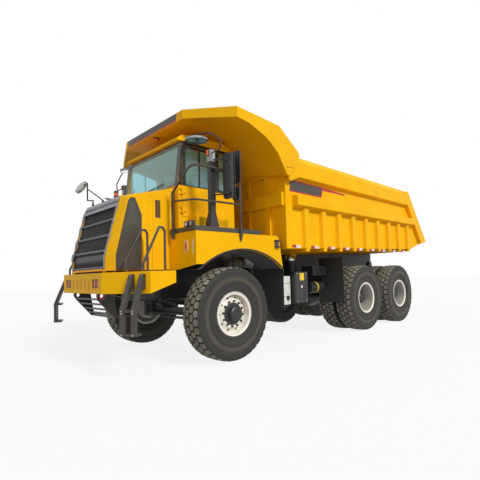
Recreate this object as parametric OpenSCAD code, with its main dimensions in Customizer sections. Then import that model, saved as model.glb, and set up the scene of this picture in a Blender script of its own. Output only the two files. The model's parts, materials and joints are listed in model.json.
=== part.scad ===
// Six-wheel mining dump truck with a tipping load body and a full-width cab canopy.
// Millimetres. X points forward, Y to the driver's left, Z up, with the ground at zero.
// Lengths along X are measured from the front axle, and in_place() moves all to the middle.

/* [Wheels] */
// Outer radius of the tyres
tyre_r = 730; // [690:5:745]
// Width of a tyre
tyre_w = 400; // [360:5:420]
// Radius of the rim where the tyre is seated
bead_r = 318; // [300:2:330]
// Height of a rim flange above its seat
flange_h = 47; // [35:1:55]
// Distance between the middles of the front tyres
front_track = 2770; // [2740:5:2800]
// Distance between the middles of the twin tyre pairs
rear_track = 2540; // [2520:5:2560]
// Distance between the middles of two twin tyres
twin_pitch = 460; // [440:5:480]
// Distance from the front axle to the first rear axle
wheelbase = 3800; // [3750:10:3900]
// Distance between the rear axles
tandem = 1680; // [1620:10:1720]
// Radius of the front wheel spindle
spindle_r = 60; // [50:1:70]
// Radius of the rear wheel spindle
rear_spindle_r = 70; // [60:1:80]
// Running clearance between a pin or spindle and its bore
run_fit = 0.06; // [0.03:0.01:0.1]

/* [Steering] */
// Distance of a kingpin from the middle of its wheel
kingpin_offset = 375; // [360:5:395]
// Radius of a kingpin
kingpin_r = 35; // [28:1:40]
// Length of the steering arm behind the kingpin
steer_arm = 220; // [200:5:260]

/* [Frame] */
// Distance between the outer faces of the frame rails
frame_w = 950; // [930:5:970]
// Height of the top of the rails
rail_top = 1340; // [1320:5:1345]
// Depth of a rail
rail_h = 340; // [320:5:350]
// Width of the rail flanges
rail_flange = 90; // [80:1:95]
// Thickness of the rail web and flanges
rail_t = 14; // [10:1:18]
// Length of the frame behind the last axle
frame_tail = 800; // [760:10:840]

/* [Load body] */
// Width of the load space
load_w = 3160; // [3120:10:3200]
// Thickness of the body plates
plate_t = 40; // [30:1:45]
// Height of the underside of the body at its front
body_z = 1780; // [1770:5:1800]
// Height of the upper rail of the sides
body_top = 3500; // [3450:10:3550]
// Rise of the body floor for each unit of length
floor_rise = 0.023; // [0.01:0.001:0.03]
// Place of the front of the load body behind the front axle
body_front = 1200; // [1180:5:1220]
// Length of the load body behind the tipping hinge
body_overhang = 1180; // [1150:5:1250]
// Number of ribs on each side
rib_count = 9; // [5:1:9]
// Width of a rib
rib_w = 180; // [140:5:200]
// Depth of a rib
rib_d = 70; // [50:5:80]

/* [Canopy] */
// Place of the front edge of the canopy before the front axle
canopy_front = 521; // [480:5:560]
// Height of the top of the canopy above the walls of the cab
canopy_rise = 458; // [440:2:480]
// Depth of the front band of the canopy
canopy_band = 145; // [120:5:160]
// Half width of the straight front edge of the canopy
canopy_flat = 1020; // [980:5:1060]
// Angle at which the canopy wings droop
canopy_droop = 8.8; // [7:0.2:9.4]

/* [Tipping] */
// Distance of the tipping hinge behind the last axle
hinge_overhang = 620; // [600:5:640]
// Height of the tipping hinge
hinge_z = 1520; // [1515:1:1530]
// Radius of the tipping pins
hinge_r = 45; // [40:1:50]
// Place of the lower pin of the hoists behind the front axle
hoist_x = 2500; // [2480:5:2520]
// Height of the lower pin of the hoists
hoist_z = 800; // [790:5:810]
// Distance of a hoist from the middle of the truck
hoist_y = 640; // [635:1:650]
// Length of a closed hoist between its pins
hoist_l = 905.5; // [900:0.5:910]
// Forward reach of a hoist between its pins
hoist_lean = 100; // [90:2:110]
// Outer radius of the hoist barrel
barrel_r = 125; // [120:1:128]

/* [Cab] */
// Width of the cab
cab_w = 1880; // [1860:5:1900]
// Thickness of the cab walls and doors
cab_t = 50; // [40:1:60]
// Height of the window sill
sill_z = 2790; // [2760:5:2810]
// Height of the top of the cab walls
cab_top = 3560; // [3540:5:3570]
// Place of the front of the cab before the front axle
cab_front = 590; // [580:2:594]
// Place of the rear of the cab behind the front axle
cab_rear = 560; // [540:5:570]
// Rearward lean of the windscreen over its height
screen_lean = 85; // [60:5:100]
// Width of a door
door_w = 664; // [640:2:670]
// Gap round a door
door_gap = 6; // [5:0.5:8]

/* [Front] */
// Place of the face of the front bumper before the front axle
bumper_front = 1713; // [1700:1:1730]
// Width of the straight face of the bumper
bumper_face = 1534; // [1500:2:1560]
// Width of the bumper
bumper_w = 3068; // [3040:4:3080]
// Height of the bumper's top
bumper_top = 1421; // [1415:1:1430]
// Height of the bumper's underside
bumper_low = 1128; // [1120:1:1140]
// Place of the face of the hood before the front axle
hood_front = 1620; // [1600:2:1630]
// Width of the hood
hood_w = 1700; // [1680:5:1710]
// Thickness of the hood
hood_t = 35; // [25:1:45]

/* [Deck] */
// Height of the top of the deck plate
deck_z = 2070; // [2060:2:2076]
// Thickness of the deck plate
deck_t = 70; // [50:2:80]
// Width over the fenders
fender_w = 3100; // [3080:4:3120]
// Radius of the wheel arch
arch_r = 1421; // [1400:5:1440]
// Thickness of the fender plates
fender_t = 40; // [30:1:45]

/* [Hidden] */
$fn = 48;
seat = 0.3;
clear = 5;

// The middle of the whole length, and main places worked out from the sizes above
last_axle = wheelbase + tandem;
hinge_x = last_axle + hinge_overhang;
body_tail = hinge_x + body_overhang;
middle_x = (bumper_front - body_tail) / 2;
rail_y = frame_w / 2;
rail_z = rail_top - rail_h;
axle_z = tyre_r;
front_y = front_track / 2;
rear_y = rear_track / 2;
rim_half = tyre_w / 2 - 50;
rim_t = 18;
flange_t = 15;
kingpin_y = front_y - kingpin_offset;
frame_rear = last_axle + frame_tail;
bumper_t = 40;
bumper_half = bumper_face / 2;
bumper_side = bumper_w / 2;
bumper_corner = 1392;
bumper_rear = 1013;
hood_half = hood_w / 2;
cab_half = cab_w / 2;
fender_half = fender_w / 2;
deck_half = fender_half + 5;
deck_low = deck_z - deck_t;
fender_front = 690;
deck_front = fender_front + 10;
load_half = load_w / 2;
side_out = load_half + plate_t;
rib_out = side_out + rib_d;
door_x1 = cab_front - 70;
door_x0 = door_x1 - door_w - 2 * door_gap;
door_low = 2290;
door_high = cab_top - 80;
window_low = sill_z + 20;
window_high = cab_top - 80;
hoist_turn = atan2(hoist_lean, sqrt(hoist_l * hoist_l - hoist_lean * hoist_lean));
eye_x = -hoist_x + hoist_lean;
eye_z = hoist_z + sqrt(hoist_l * hoist_l - hoist_lean * hoist_lean);
kick_x = -hinge_x - 310;
canopy_top = cab_top + canopy_rise;
rib_first = -body_front - 520;
rib_pitch = (rib_first - kick_x - 250) / (rib_count - 1);
grey = [0.33, 0.31, 0.29];
dark = [0.12, 0.12, 0.12];
yellow = [0.98, 0.74, 0.02];
silver = [0.80, 0.80, 0.78];
glass = [0.45, 0.62, 0.62, 0.5];

// Height of the body's underside at a place x, with the tail kicked up behind kick_x
tail_rise = 240;
function floor_z(x) = body_z + floor_rise * max(0, -body_front - max(x, kick_x))
  + tail_rise * max(0, kick_x - x) / (kick_x + body_tail);

// General helpers
module in_place() translate([-middle_x, 0, 0]) children();
module both_sides() { children(); mirror([0, 1, 0]) children(); }
function about(middle, half) = [middle - half, middle + half];
module slab(x, y, z) translate([x[0], y[0], z[0]]) cube([x[1] - x[0], y[1] - y[0], z[1] - z[0]]);
module side_prism(points, y)
  translate([0, y[1], 0]) rotate([90, 0, 0]) linear_extrude(y[1] - y[0]) polygon(points);
module cross_prism(points, x)
  translate([x[0], 0, 0]) rotate([90, 0, 90]) linear_extrude(x[1] - x[0]) polygon(points);
module plan_prism(points, z) translate([0, 0, z[0]]) linear_extrude(z[1] - z[0]) polygon(points);
module bar(a, b, r) {
  d = b - a;
  translate(a) rotate([0, acos(d[2] / norm(d)), atan2(d[1], d[0])]) cylinder(h = norm(d), r = r);
}
module pipe(points, r) {
  for (i = [0 : len(points) - 2]) bar(points[i], points[i + 1], r);
  for (i = [1 : 1 : len(points) - 2]) translate(points[i]) sphere(r * 1.04);
}
module cross_pin(x, z, y, r, facets = 48)
  translate([x, y[1], z]) rotate([90, 0, 0]) cylinder(h = y[1] - y[0], r = r, $fn = facets);

// Wheels turn about Y, and their own middle plane is at y = 0
module wheel_axis() rotate([-90, 0, 0]) children();
module tyre() {
  h = tyre_w / 2;
  b = rim_half - seat;
  outer = [[bead_r + flange_h + 1, b], [bead_r + flange_h + 7, b + 20], [bead_r + 130, h - 10],
    [bead_r + 220, h], [tyre_r - 90, h - 8], [tyre_r - 30, h - 24], [tyre_r, h - 50]];
  inner = [for (i = [len(outer) - 1 : -1 : 0]) [outer[i][0], -outer[i][1]]];
  wheel_axis() rotate_extrude($fn = 72)
    polygon(concat([[bead_r + seat, -b], [bead_r + seat, b]], outer, inner));
}
module rim_barrel() {
  f = bead_r + flange_h;
  w = rim_half + flange_t;
  wheel_axis() rotate_extrude($fn = 72) polygon([[bead_r - rim_t, -w], [f, -w], [f, -rim_half],
    [bead_r, -rim_half], [bead_r, rim_half], [f, rim_half], [f, w], [bead_r - rim_t, w]]);
}
module rim_disc(points) wheel_axis() rotate_extrude($fn = 72) polygon(points);
module hub_bore(r, y) translate([0, y[0], 0]) wheel_axis() cylinder(h = y[1] - y[0], r = r + run_fit);
module front_rim() {
  b = bead_r - rim_t + 2;
  difference() {
    union() {
      rim_barrel();
      rim_disc([[100, 95], [205, 95], [b, 35], [b, 60], [215, 120], [100, 120]]);
      rim_disc([[0, -195], [215, -195], [215, -30], [150, -30], [150, 130], [120, 150],
        [110, 215], [60, 232], [0, 232]]);
    }
    hub_bore(spindle_r, [-200, 110]);
    for (i = [0 : 9]) rotate([0, 36 * i, 0]) translate([252, 20, 0]) wheel_axis() cylinder(h = 130, r = 20);
  }
}
// The twin rims share one hub, and both discs meet at the middle plane
module rear_rims() {
  b = bead_r - rim_t + 2;
  half = twin_pitch / 2;
  face = half - rim_half + 20;
  difference() {
    union() {
      for (s = [-1, 1]) translate([0, s * half, 0]) rim_barrel();
      for (s = [0, 1]) mirror([0, s, 0])
        rim_disc([[140, 0], [250, 0], [b, face - 30], [b, face], [240, 25], [140, 25]]);
      rim_disc([[0, -410], [215, -410], [215, -140], [150, -140], [150, 60], [130, 80],
        [130, 250], [90, 290], [0, 290]]);
    }
    hub_bore(rear_spindle_r, [-411, 260]);
    for (i = [0 : 7]) rotate([0, 45 * i + 22, 0]) translate([205, -30, 0])
      wheel_axis() cylinder(h = 60, r = 24);
  }
}
module at_front(s) in_place() mirror([0, s < 0 ? 1 : 0, 0]) translate([0, front_y, axle_z]) children();
module at_rear(s, back) in_place() mirror([0, s < 0 ? 1 : 0, 0])
  translate([-wheelbase - back, rear_y, axle_z]) children();
module twin_tyres() for (s = [-1, 1]) translate([0, s * twin_pitch / 2, 0]) tyre();

module tyre_front_left() color(dark) at_front(1) tyre();
module tyre_front_right() color(dark) at_front(-1) tyre();
module rim_front_left() color(silver) at_front(1) front_rim();
module rim_front_right() color(silver) at_front(-1) front_rim();
module tyres_rear1_left() color(dark) at_rear(1, 0) twin_tyres();
module tyres_rear1_right() color(dark) at_rear(-1, 0) twin_tyres();
module rims_rear1_left() color(silver) at_rear(1, 0) rear_rims();
module rims_rear1_right() color(silver) at_rear(-1, 0) rear_rims();
module tyres_rear2_left() color(dark) at_rear(1, tandem) twin_tyres();
module tyres_rear2_right() color(dark) at_rear(-1, tandem) twin_tyres();
module rims_rear2_left() color(silver) at_rear(1, tandem) rear_rims();
module rims_rear2_right() color(silver) at_rear(-1, tandem) rear_rims();

// Frame with channel rails, cross members, and the two tipping pins in their cheeks
cross_places = [-1450, -2150, 500 - wheelbase, -wheelbase - tandem / 2];
cheek_t = 45;
module rail() {
  front = bumper_front - bumper_t;
  low = bumper_low + 10;
  outline = [[-frame_rear, rail_z], [900, rail_z], [1250, low], [front, low], [front, rail_top],
    [-frame_rear, rail_top]];
  hollow = [[-frame_rear - 1, rail_z + rail_t], [900, rail_z + rail_t], [1250, low + rail_t],
    [front + 1, low + rail_t], [front + 1, rail_top - rail_t], [-frame_rear - 1, rail_top - rail_t]];
  difference() {
    side_prism(outline, [rail_y - rail_flange, rail_y]);
    side_prism(hollow, [rail_y - rail_flange - 1, rail_y - rail_t]);
  }
}
module tipping_cheek(y) side_prism([[-hinge_x - 120, rail_z + 60], [-hinge_x + 160, rail_z + 60],
  [-hinge_x + 160, rail_top], [-hinge_x + 75, hinge_z + 40], [-hinge_x + 40, hinge_z + 80],
  [-hinge_x - 40, hinge_z + 80], [-hinge_x - 75, hinge_z + 40], [-hinge_x - 120, rail_top]], y);
module frame_rails() color(dark) in_place() both_sides() {
  inner = rail_y - rail_flange;
  rail();
  tipping_cheek([inner - cheek_t, inner]);
  tipping_cheek([rail_y - 1, rail_y + cheek_t]);
  cross_pin(-hinge_x, hinge_z, [inner - cheek_t, rail_y + cheek_t], hinge_r);
  hoist_bracket();
}
// Round and flat cross members seated between the rails, and the rear tow jaw
module cross_members() color(dark) in_place() {
  reach = rail_y - rail_t - seat;
  narrow = rail_y - rail_flange - cheek_t - seat;
  front = bumper_front - bumper_t;
  for (x = cross_places) cross_pin(x, rail_top - 130, [-reach, reach], 70);
  slab([front - 40, front], [-reach, reach], [bumper_low + 10 + rail_t + seat, rail_top - rail_t - seat]);
  difference() {
    union() {
      slab([-frame_rear, -hinge_x + 120], [-narrow, narrow], [rail_z + 20, rail_top]);
      for (z = [jaw_z - 80, jaw_z + 40]) slab([-frame_rear - 140, -frame_rear + 1], [-90, 90], [z, z + 40]);
    }
    translate([-frame_rear - 75, 0, jaw_z - 160]) cylinder(h = 320, r = tow_r);
  }
}
jaw_z = 1160;
tow_r = 30;
module hoist_bracket() {
  side_prism([[-hoist_x - 110, rail_top - 60], [-hoist_x - 70, hoist_z - 60], [-hoist_x + 70, hoist_z - 60],
    [-hoist_x + 110, rail_top - 60]], [rail_y - 1, rail_y + 40]);
  cross_pin(-hoist_x, hoist_z, [rail_y, hoist_y + 110], 35);
}

// Engine, gearbox and their feet on the rails
module engine_block() color(grey) in_place() {
  inner = rail_y - rail_flange;
  slab([-100, 960], [-320, 320], [960, 1860]);
  translate([-1000, 0, 1100]) rotate([0, 90, 0]) cylinder(h = 905, r = 240);
  translate([-1250, 0, 1100]) rotate([0, 90, 0]) cylinder(h = 255, r = 110);
  both_sides() {
    slab([250, 450], [315, inner], [rail_top - 50, rail_top]);
    slab([-900, -780], [100, inner], [rail_top - 40, rail_top]);
  }
}

// Drive axles with their casings, spindles and the drive shafts between them
shaft_z = 760;
module axle_casing(x) translate([x, 0, axle_z]) {
  both_sides() {
    wheel_axis() cylinder(h = rear_y - 425, r = 95);
    wheel_axis() cylinder(h = rear_y + 240, r = rear_spindle_r);
    translate([0, 150, 0]) wheel_axis() cylinder(h = 230, r1 = 200, r2 = 100);
  }
  translate([-150, 0, 0]) rotate([0, 90, 0]) cylinder(h = 300, r = 240);
  translate([100, 0, 30]) rotate([0, 90, 0]) cylinder(h = 270, r1 = 150, r2 = 90);
  translate([-330, 0, 30]) rotate([0, 90, 0]) cylinder(h = 240, r1 = 80, r2 = 130);
}
module rear_axles() color(dark) in_place() {
  axle_casing(-wheelbase);
  axle_casing(-last_axle);
  bar([-1260, 0, 1100], [-wheelbase + 350, 0, shaft_z], 55);
  bar([-wheelbase - 320, 0, shaft_z], [-last_axle + 350, 0, shaft_z], 50);
}

// Front beam axle with fixed kingpins
beam_low = axle_z - 90;
beam_high = axle_z + 40;
boss_r = 78;
boss_low = axle_z - 85;
boss_high = axle_z + 85;
arm_t = 65;
module front_axle() color(dark) in_place() {
  end = kingpin_y - 40;
  difference() {
    slab([-70, 70], [-end, end], [beam_low, beam_high]);
    for (s = [-1, 1]) slab([s > 0 ? 25 : -71, s > 0 ? 71 : -25], [-end + 90, end - 90],
      [beam_low + 28, beam_high - 28]);
  }
  both_sides() {
    translate([0, kingpin_y, boss_low]) cylinder(h = boss_high - boss_low, r = boss_r);
    translate([0, kingpin_y, boss_low - clear - arm_t])
      cylinder(h = boss_high - boss_low + 2 * (clear + arm_t), r = kingpin_r);
    slab([-150, 150], [rail_y - rail_flange - 5, rail_y + 5], [beam_high - 1, beam_high + 60]);
  }
}
module knuckle() {
  low = boss_low - clear;
  high = boss_high + clear;
  web = kingpin_y + boss_r + 12;
  flange = front_y - 195 - clear;
  difference() {
    union() {
      for (z = [low - arm_t, high]) {
        translate([0, kingpin_y, z]) cylinder(h = arm_t, r = 72);
        slab([-70, 70], [kingpin_y, web + 1], [z, z + arm_t]);
      }
      slab([-95, 95], [web, flange], [low - arm_t, high + arm_t]);
      translate([0, flange - 1, axle_z]) wheel_axis() cylinder(h = 290, r = spindle_r);
      slab([-steer_arm - 45, 0], [kingpin_y - 32, kingpin_y + 32], [low - arm_t, low - arm_t + 40]);
    }
    translate([0, kingpin_y, low - arm_t - 1])
      cylinder(h = high - low + 2 * arm_t + 2, r = kingpin_r + run_fit);
    translate([-steer_arm, kingpin_y, low - arm_t - 1]) cylinder(h = 60, r = 18 + run_fit);
  }
}
module knuckle_left() color(dark) in_place() knuckle();
module knuckle_right() color(dark) in_place() mirror([0, 1, 0]) knuckle();
module tie_rod() color(grey) in_place() {
  z = boss_low - clear - arm_t;
  translate([-steer_arm, -kingpin_y, z - 35]) rotate([-90, 0, 0]) cylinder(h = 2 * kingpin_y, r = 26);
  both_sides() {
    translate([-steer_arm, kingpin_y, z - 68]) cylinder(h = 66, r = 36);
    translate([-steer_arm, kingpin_y, z - 10]) cylinder(h = 60, r = 18);
  }
}

// Leaf springs: a short stack of plates above each front seat, and long ones across the rear axles
module leaf_stack(x, seat_z, hang_z, half, y, plates) {
  for (i = [0 : plates - 1]) {
    reach = half * (1 - 0.13 * i);
    rise = (hang_z - seat_z) * reach / half;
    z = seat_z - 20 * i;
    side_prism([[x - reach, z + rise], [x - reach * 0.5, z + rise * 0.3], [x - 100, z], [x + 100, z],
      [x + reach * 0.5, z + rise * 0.3], [x + reach, z + rise], [x + reach, z + rise + 20.5],
      [x + reach * 0.5, z + rise * 0.3 + 20.5], [x + 100, z + 20.5], [x - 100, z + 20.5],
      [x - reach * 0.5, z + rise * 0.3 + 20.5], [x - reach, z + rise + 20.5]], y);
  }
}
module suspension() color(dark) in_place() {
  front_seat = beam_high + 60;
  rear_mid = -(wheelbase + last_axle) / 2;
  pad = axle_z + 95;
  both_sides() {
    leaf_stack(0, front_seat + 60, 960, 640, [rail_y - rail_flange + 5, rail_y - 5], 4);
    for (x = [-640, 600]) slab([x, x + 40], [rail_y - rail_flange + 5, rail_y - 5], [940, rail_z]);
    side_prism([[rear_mid - 240, rail_top - 60], [rear_mid - 120, pad - 90], [rear_mid + 120, pad - 90],
      [rear_mid + 240, rail_top - 60]], [rail_y, rail_y + 50]);
    slab([rear_mid - 120, rear_mid + 120], [rail_y + 49, rail_y + 200], [pad - 90, pad - 20]);
    for (i = [0 : 4]) slab([rear_mid - 900 + 130 * i, rear_mid + 900 - 130 * i],
      [rail_y + 70, rail_y + 180], [pad + 24 - 24 * i, pad + 48.5 - 24 * i]);
    for (x = [-wheelbase, -last_axle]) slab([x - 60, x + 60], [rail_y + 70, rail_y + 180], [pad, pad + 24]);
  }
}

// Front bumper as an open shell with a flat step on top
module bumper_plan(t, z) {
  rear = bumper_rear - (t > 0 ? 1 : 0);
  plan_prism([[bumper_front - t, -bumper_half + t / 2], [bumper_front - t, bumper_half - t / 2],
    [bumper_corner - t, bumper_side - t], [rear, bumper_side - t], [rear, -bumper_side + t],
    [bumper_corner - t, -bumper_side + t]], z);
}
lamp_y = 541;
lamp_w = 222;
lamp_z = [1210, 1334];
lamp_pocket = 25;
slot_w = 24;
slot_pitch = 158;
module bumper() color(yellow) in_place() difference() {
  union() {
    bumper_shell();
    both_sides() {
      slab([hood_hinge[0] - 20, hood_hinge[0] + 20], hinge_lug_y, [bumper_top - 1, hood_hinge[1]]);
      cross_pin(hood_hinge[0], hood_hinge[1], hinge_lug_y, 20);
    }
  }
  both_sides() cross_pin(hood_hinge[0], hood_hinge[1], hinge_lug_y + [-1, 1], pin_r + run_fit);
}
module bumper_shell() difference() {
  intersection() {
    bumper_plan(0, [bumper_low, bumper_top]);
    side_prism([[bumper_front + 1, bumper_low], [bumper_corner, bumper_low], [bumper_rear, bumper_low + 130],
      [bumper_rear, bumper_top], [bumper_front + 1, bumper_top]], [-bumper_side, bumper_side]);
  }
  bumper_plan(bumper_t, [bumper_low - 1, bumper_top - bumper_t]);
  slab([bumper_rear - 1, 1560], [-760, 760], [bumper_top - bumper_t - 1, bumper_top + 1]);
  for (i = [-2 : 2]) slab([bumper_front - bumper_t - 1, bumper_front + 1],
    about(slot_pitch * i, slot_w / 2), [lamp_z[0] - 15, lamp_z[1] + 5]);
  for (s = [-1, 1]) slab([bumper_front - lamp_pocket, bumper_front + 1],
    about(s * lamp_y, lamp_w / 2), lamp_z);
}
// Oval outline with round ends, taller than it is wide
function oval(y, z, r, half) = [for (a = [0 : 20 : 340])
  [y + r * cos(a), z + r * sin(a) + (a > 0 && a < 180 ? half - r : a > 180 ? r - half : 0)]];
// Lamps of the bumper and fenders, two work lamps on each deck, and the tail lamps
module lamps() color("orange") in_place() both_sides() {
  slab([bumper_front - lamp_pocket + seat, bumper_front - 8], about(lamp_y, lamp_w / 2 - 2),
    lamp_z + [2, -2]);
  cross_prism(oval(1311, 1782, 42, 88), [fender_front, fender_front + 16]);
  for (y = [[1215, 1310], [1350, 1420]]) {
    slab([deck_front - 90, deck_front - 30], y, [deck_z + 10, deck_z + 95]);
    slab([deck_front - 75, deck_front - 45], y + [20, -20], [deck_z, deck_z + 11]);
  }
  slab([-frame_rear - 40, -frame_rear], [rail_y - 90, rail_y + 90], [1180, 1300]);
}

// Slatted guard under the radiator, with two tow eyes
guard_line = [[1640, 1040], [1580, 960], [1520, 880], [1460, 810], [1400, 757]];
tow_x = 1595;
tow_z = 1090;
module under_guard() color(grey) in_place() {
  low = bumper_low + 10;
  both_sides() {
    difference() {
      side_prism([[1650, low], [1650, 1040], [1400, 745], [1010, 712], [1010, 757], [1360, 790],
        [1420, low]], [430, 450]);
      cross_pin(tow_x, tow_z, [429, 451], tow_r + 10);
    }
    difference() {
      side_prism([[1660, low], [1660, 1070], [1630, 1036], [1560, 1036], [1530, 1070], [1530, low]],
        [449, 479]);
      cross_pin(tow_x, tow_z, [448, 480], tow_r);
    }
  }
  for (p = guard_line) slab([p[0] - 40, p[0]], [-431, 431], [p[1] - 12, p[1] + 12]);
  side_prism([[1400, 745], [1010, 712], [1010, 732], [1400, 765]], [-431, 431]);
}

// Ladders hang on the bumper's chamfers, and lean out a little
ladder_at = 0.757;
ladder_w = 250;
ladder_lean = 205;
ladder_rail = 70;
module ladder() {
  turn = atan2(bumper_front - bumper_corner, bumper_side - bumper_half);
  translate([bumper_front + ladder_at * (bumper_corner - bumper_front),
    bumper_half + ladder_at * (bumper_side - bumper_half), 0]) rotate([0, 0, turn]) {
    for (y = [-ladder_w / 2, ladder_w / 2 - ladder_rail])
      side_prism([[seat, 1190], [seat, 1385], [34, 1385], [ladder_lean, 930], [ladder_lean, 600],
        [ladder_lean - 42, 600], [ladder_lean - 42, 915], [60, 1190]], [y, y + ladder_rail]);
    tread_y = about(0, ladder_w / 2 - 1);
    for (z = [600, 900]) slab([ladder_lean - 120, ladder_lean - 1], tread_y, [z, z + 30]);
    slab([62, 100], tread_y, [1150, 1175]);
  }
}
module ladders() color(grey) in_place() both_sides() ladder();

// Handrails of the decks and grab hoops on the bumper's step
rail_r = 17;
post_x = -160;
module handrails() color(grey) in_place() both_sides() {
  front = deck_front + rail_r;
  side = deck_half + rail_r;
  gate = 975;
  pipe([[front, gate, deck_low - 90], [front, gate, 2630], [front, 1420, 2935], [front - 5, side - 40, 2958],
    [front - 50, side, 2962], [170, side, 2970]], rail_r);
  pipe([[front, gate, 2504], [front, side - 30, 2447], [front - 30, side, 2447], [post_x, side, 2462]],
    rail_r * 0.9);
  bar([post_x, side, 1880], [post_x, side, 2800], rail_r);
  slab([deck_front, deck_front + 2 * rail_r], about(gate, 25), [deck_low - 60, deck_z]);
  slab([post_x - 25, post_x + 25], [deck_half, deck_half + 2 * rail_r], [deck_low - 60, deck_z]);
  for (z = [2442, 2952]) slab([mast_x[0] + 30, mast_x[1] - 10], [mast_y[1] + seat, side], [z, z + 30]);
  hoop(1000, [1150, 1205, 1478, 1460], [2030, 1575], 2.2);
  hoop(1400, [1100, 1158, 1420, 1420], [2030, 1525], 0);
}
// Grab hoop in a plane across the truck's width: an upright rear leg, a round top and a sloping front leg
module hoop(y, x, z, foot_rise) {
  foot = bumper_top + seat;
  r = x[1] - x[0];
  top = [for (a = [180, 120, 60]) [x[1] + r * cos(a), y, z[0] - r + r * sin(a)]];
  pipe(concat([[x[0], y, foot]], top, [[x[2], y, z[1]], [x[3], y, foot + foot_rise]]), rail_r);
}

// Hood as a thin convex shell, open below and behind
hood_rear = 620;
hood_low = bumper_top + 29;
hood_hinge = [hood_front - 20, hood_low + 5];
hood_hinge_y = 605;
hood_kink = 1665;
hood_nose = 1402;
nose_z = 2520;
nose_cap = [22, 40];
hood_top_z = 2768;
shoulder_w = 170;
hinge_lug_y = about(hood_hinge_y, 15);
// Side outline of the hood, set back by s at the front and by n at the nose, lower by drop, and t inside
function hood_line(s, n, drop, t) = [[hood_rear - min(t, 1), hood_low - min(t, 1)],
  [hood_front - s - t, hood_low - min(t, 1)], [hood_front - s - t, hood_kink - t / 5],
  [hood_nose - n - t, nose_z - drop - t / 2],
  [hood_nose - n - nose_cap[0] - t, nose_z + nose_cap[1] - drop - t],
  [hood_rear - min(t, 1), hood_top_z - drop - t]];
module hood_form(t) hull() {
  side_prism(hood_line(0, 0, 0, t), (hood_half - shoulder_w - t / 2) * [-1, 1]);
  side_prism(hood_line(63, 35, 22, t), (hood_half - t) * [-1, 1]);
}
function hood_z(x) = nose_z + nose_cap[1] + (hood_nose - nose_cap[0] - x)
  * (hood_top_z - nose_z - nose_cap[1]) / (hood_nose - nose_cap[0] - hood_rear);
function face_x(z) = hood_front
  - max(0, z - hood_kink) * (hood_front - hood_nose) / (nose_z - hood_kink);
grille_half = 640;
grille_low = 1480;
grille_high = 2500;
band_low = 2405;
// Slab along the face of the nose from z0 to z1, between depths d0 and d1 behind the face
module grille_slab(z0, z1, d0, d1, half) {
  bent = z0 < hood_kink && z1 > hood_kink;
  side_prism([[face_x(z0) - d1, z0], [face_x(z0) - d0, z0], if (bent) [hood_front - d0, hood_kink],
    [face_x(z1) - d0, z1], [face_x(z1) - d1, z1], if (bent) [hood_front - d1, hood_kink]], [-half, half]);
}
module hood() color(yellow) in_place() {
  difference() {
    hood_form(0);
    hood_form(hood_t);
    grille_slab(grille_low, grille_high, -50, 120, grille_half);
    both_sides() slab([hood_front - 60, hood_front + 1], hinge_lug_y + [-5, 5],
      [hood_low - 2, hood_low + 50]);
  }
  both_sides() cross_pin(hood_hinge[0], hood_hinge[1], hinge_lug_y + [-7, 7], pin_r);
}
// Dark grille with four panels between bars, a band over the nose, and the side panels of the hood
bar_z = [1480, 1725, 1955, 2190];
bar_h = 28;
module grille() in_place() {
  color(dark) grille_slab(grille_low + 1, grille_high - 1, 22, 45, grille_half - 0.5);
  color(grey) for (z = bar_z) grille_slab(z + 2, z + 2 + bar_h, 5, 30, grille_half - 3);
  color([0.45, 0.48, 0.52]) {
    grille_slab(band_low, grille_high - 3, -6, 32, grille_half - 2);
    grille_slab(grille_high - 40, nose_z - 2, -6, -seat, grille_half + 14);
  }
  color(grey) both_sides() side_prism([[1549, hood_low + 6], [1549, hood_kink], [1362, 2465], [1328, 2512],
    [1262, 2515], [1211, 2397], [1161, 2266], [1170, hood_low + 6]], [hood_half, hood_half + 8]);
}
// Round mirror on a braced arm at the right of the hood
module front_mirror() color(grey) in_place() {
  x = 1290;
  foot = hood_z(x) + 5.8;
  for (y = [-223, -650]) translate([x, y, foot]) cylinder(h = 50, r = 20);
  pipe([[x, -650, foot + 40], [x, -650, 2706], [x, -908, 2747], [x, -908, 3060], [x + 10, -1100, 3050]], 12);
  pipe([[x, -223, foot + 40], [x, -240, 2650], [x, -900, 2955]], 11);
  translate([x, -1150, 3018]) rotate([0, 60, 10]) cylinder(h = 40, r = 130);
}

// Posts and cross beams under the cab, and the wide deck plate on top
beam_places = [500, -600, -950];
module deck_platform() color(grey) in_place() {
  top = deck_low - fender_t;
  for (x = beam_places) {
    slab([x, x + 90], [-1500, 1500], [top - 80, top]);
    both_sides() slab([x, x + 90], [rail_y - rail_flange, rail_y], [rail_top, top - 79]);
  }
  difference() {
    plan_prism([[deck_front, deck_half], [deck_front, -deck_half], [-cab_rear - 60, -deck_half],
      [-cab_rear - 60, deck_half]], [deck_low, deck_z]);
    slab([cab_front + 12, deck_front + 1], [-hood_half - 20, hood_half + 20], [deck_low - 1, deck_z + 1]);
  }
}
arch_x = -250;
arch_z = 312;
module fenders() color(yellow) in_place() both_sides() difference() {
  union() {
    side_prism([[fender_front, 1508], [fender_front, deck_low], [-1020, deck_low], [-1070, deck_low - 50],
      [-1152, 1417], [-1152, 1400], [fender_front, 1400]], [fender_half - fender_t, fender_half]);
    cross_prism([[hood_half + 10, 1440], [1020, 1440], [fender_half, 1508], [fender_half, deck_low],
      [hood_half + 10, deck_low]], [fender_front - fender_t, fender_front]);
    slab([-1020, fender_front], [1000, fender_half], [deck_low - fender_t, deck_low]);
    slab([560, fender_front], [hood_half + 10, 1001], [deck_low - fender_t, deck_low]);
  }
  cross_pin(arch_x, arch_z, [900, fender_half + 1], arch_r, 240);
  slab([-1200, fender_front + 1], [fender_half - fender_t - 1, fender_half + 1], [1390, 1413]);
  slab([504, fender_front + 1], [fender_half - fender_t - 1, fender_half + 1], [1390, 1508]);
}
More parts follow.
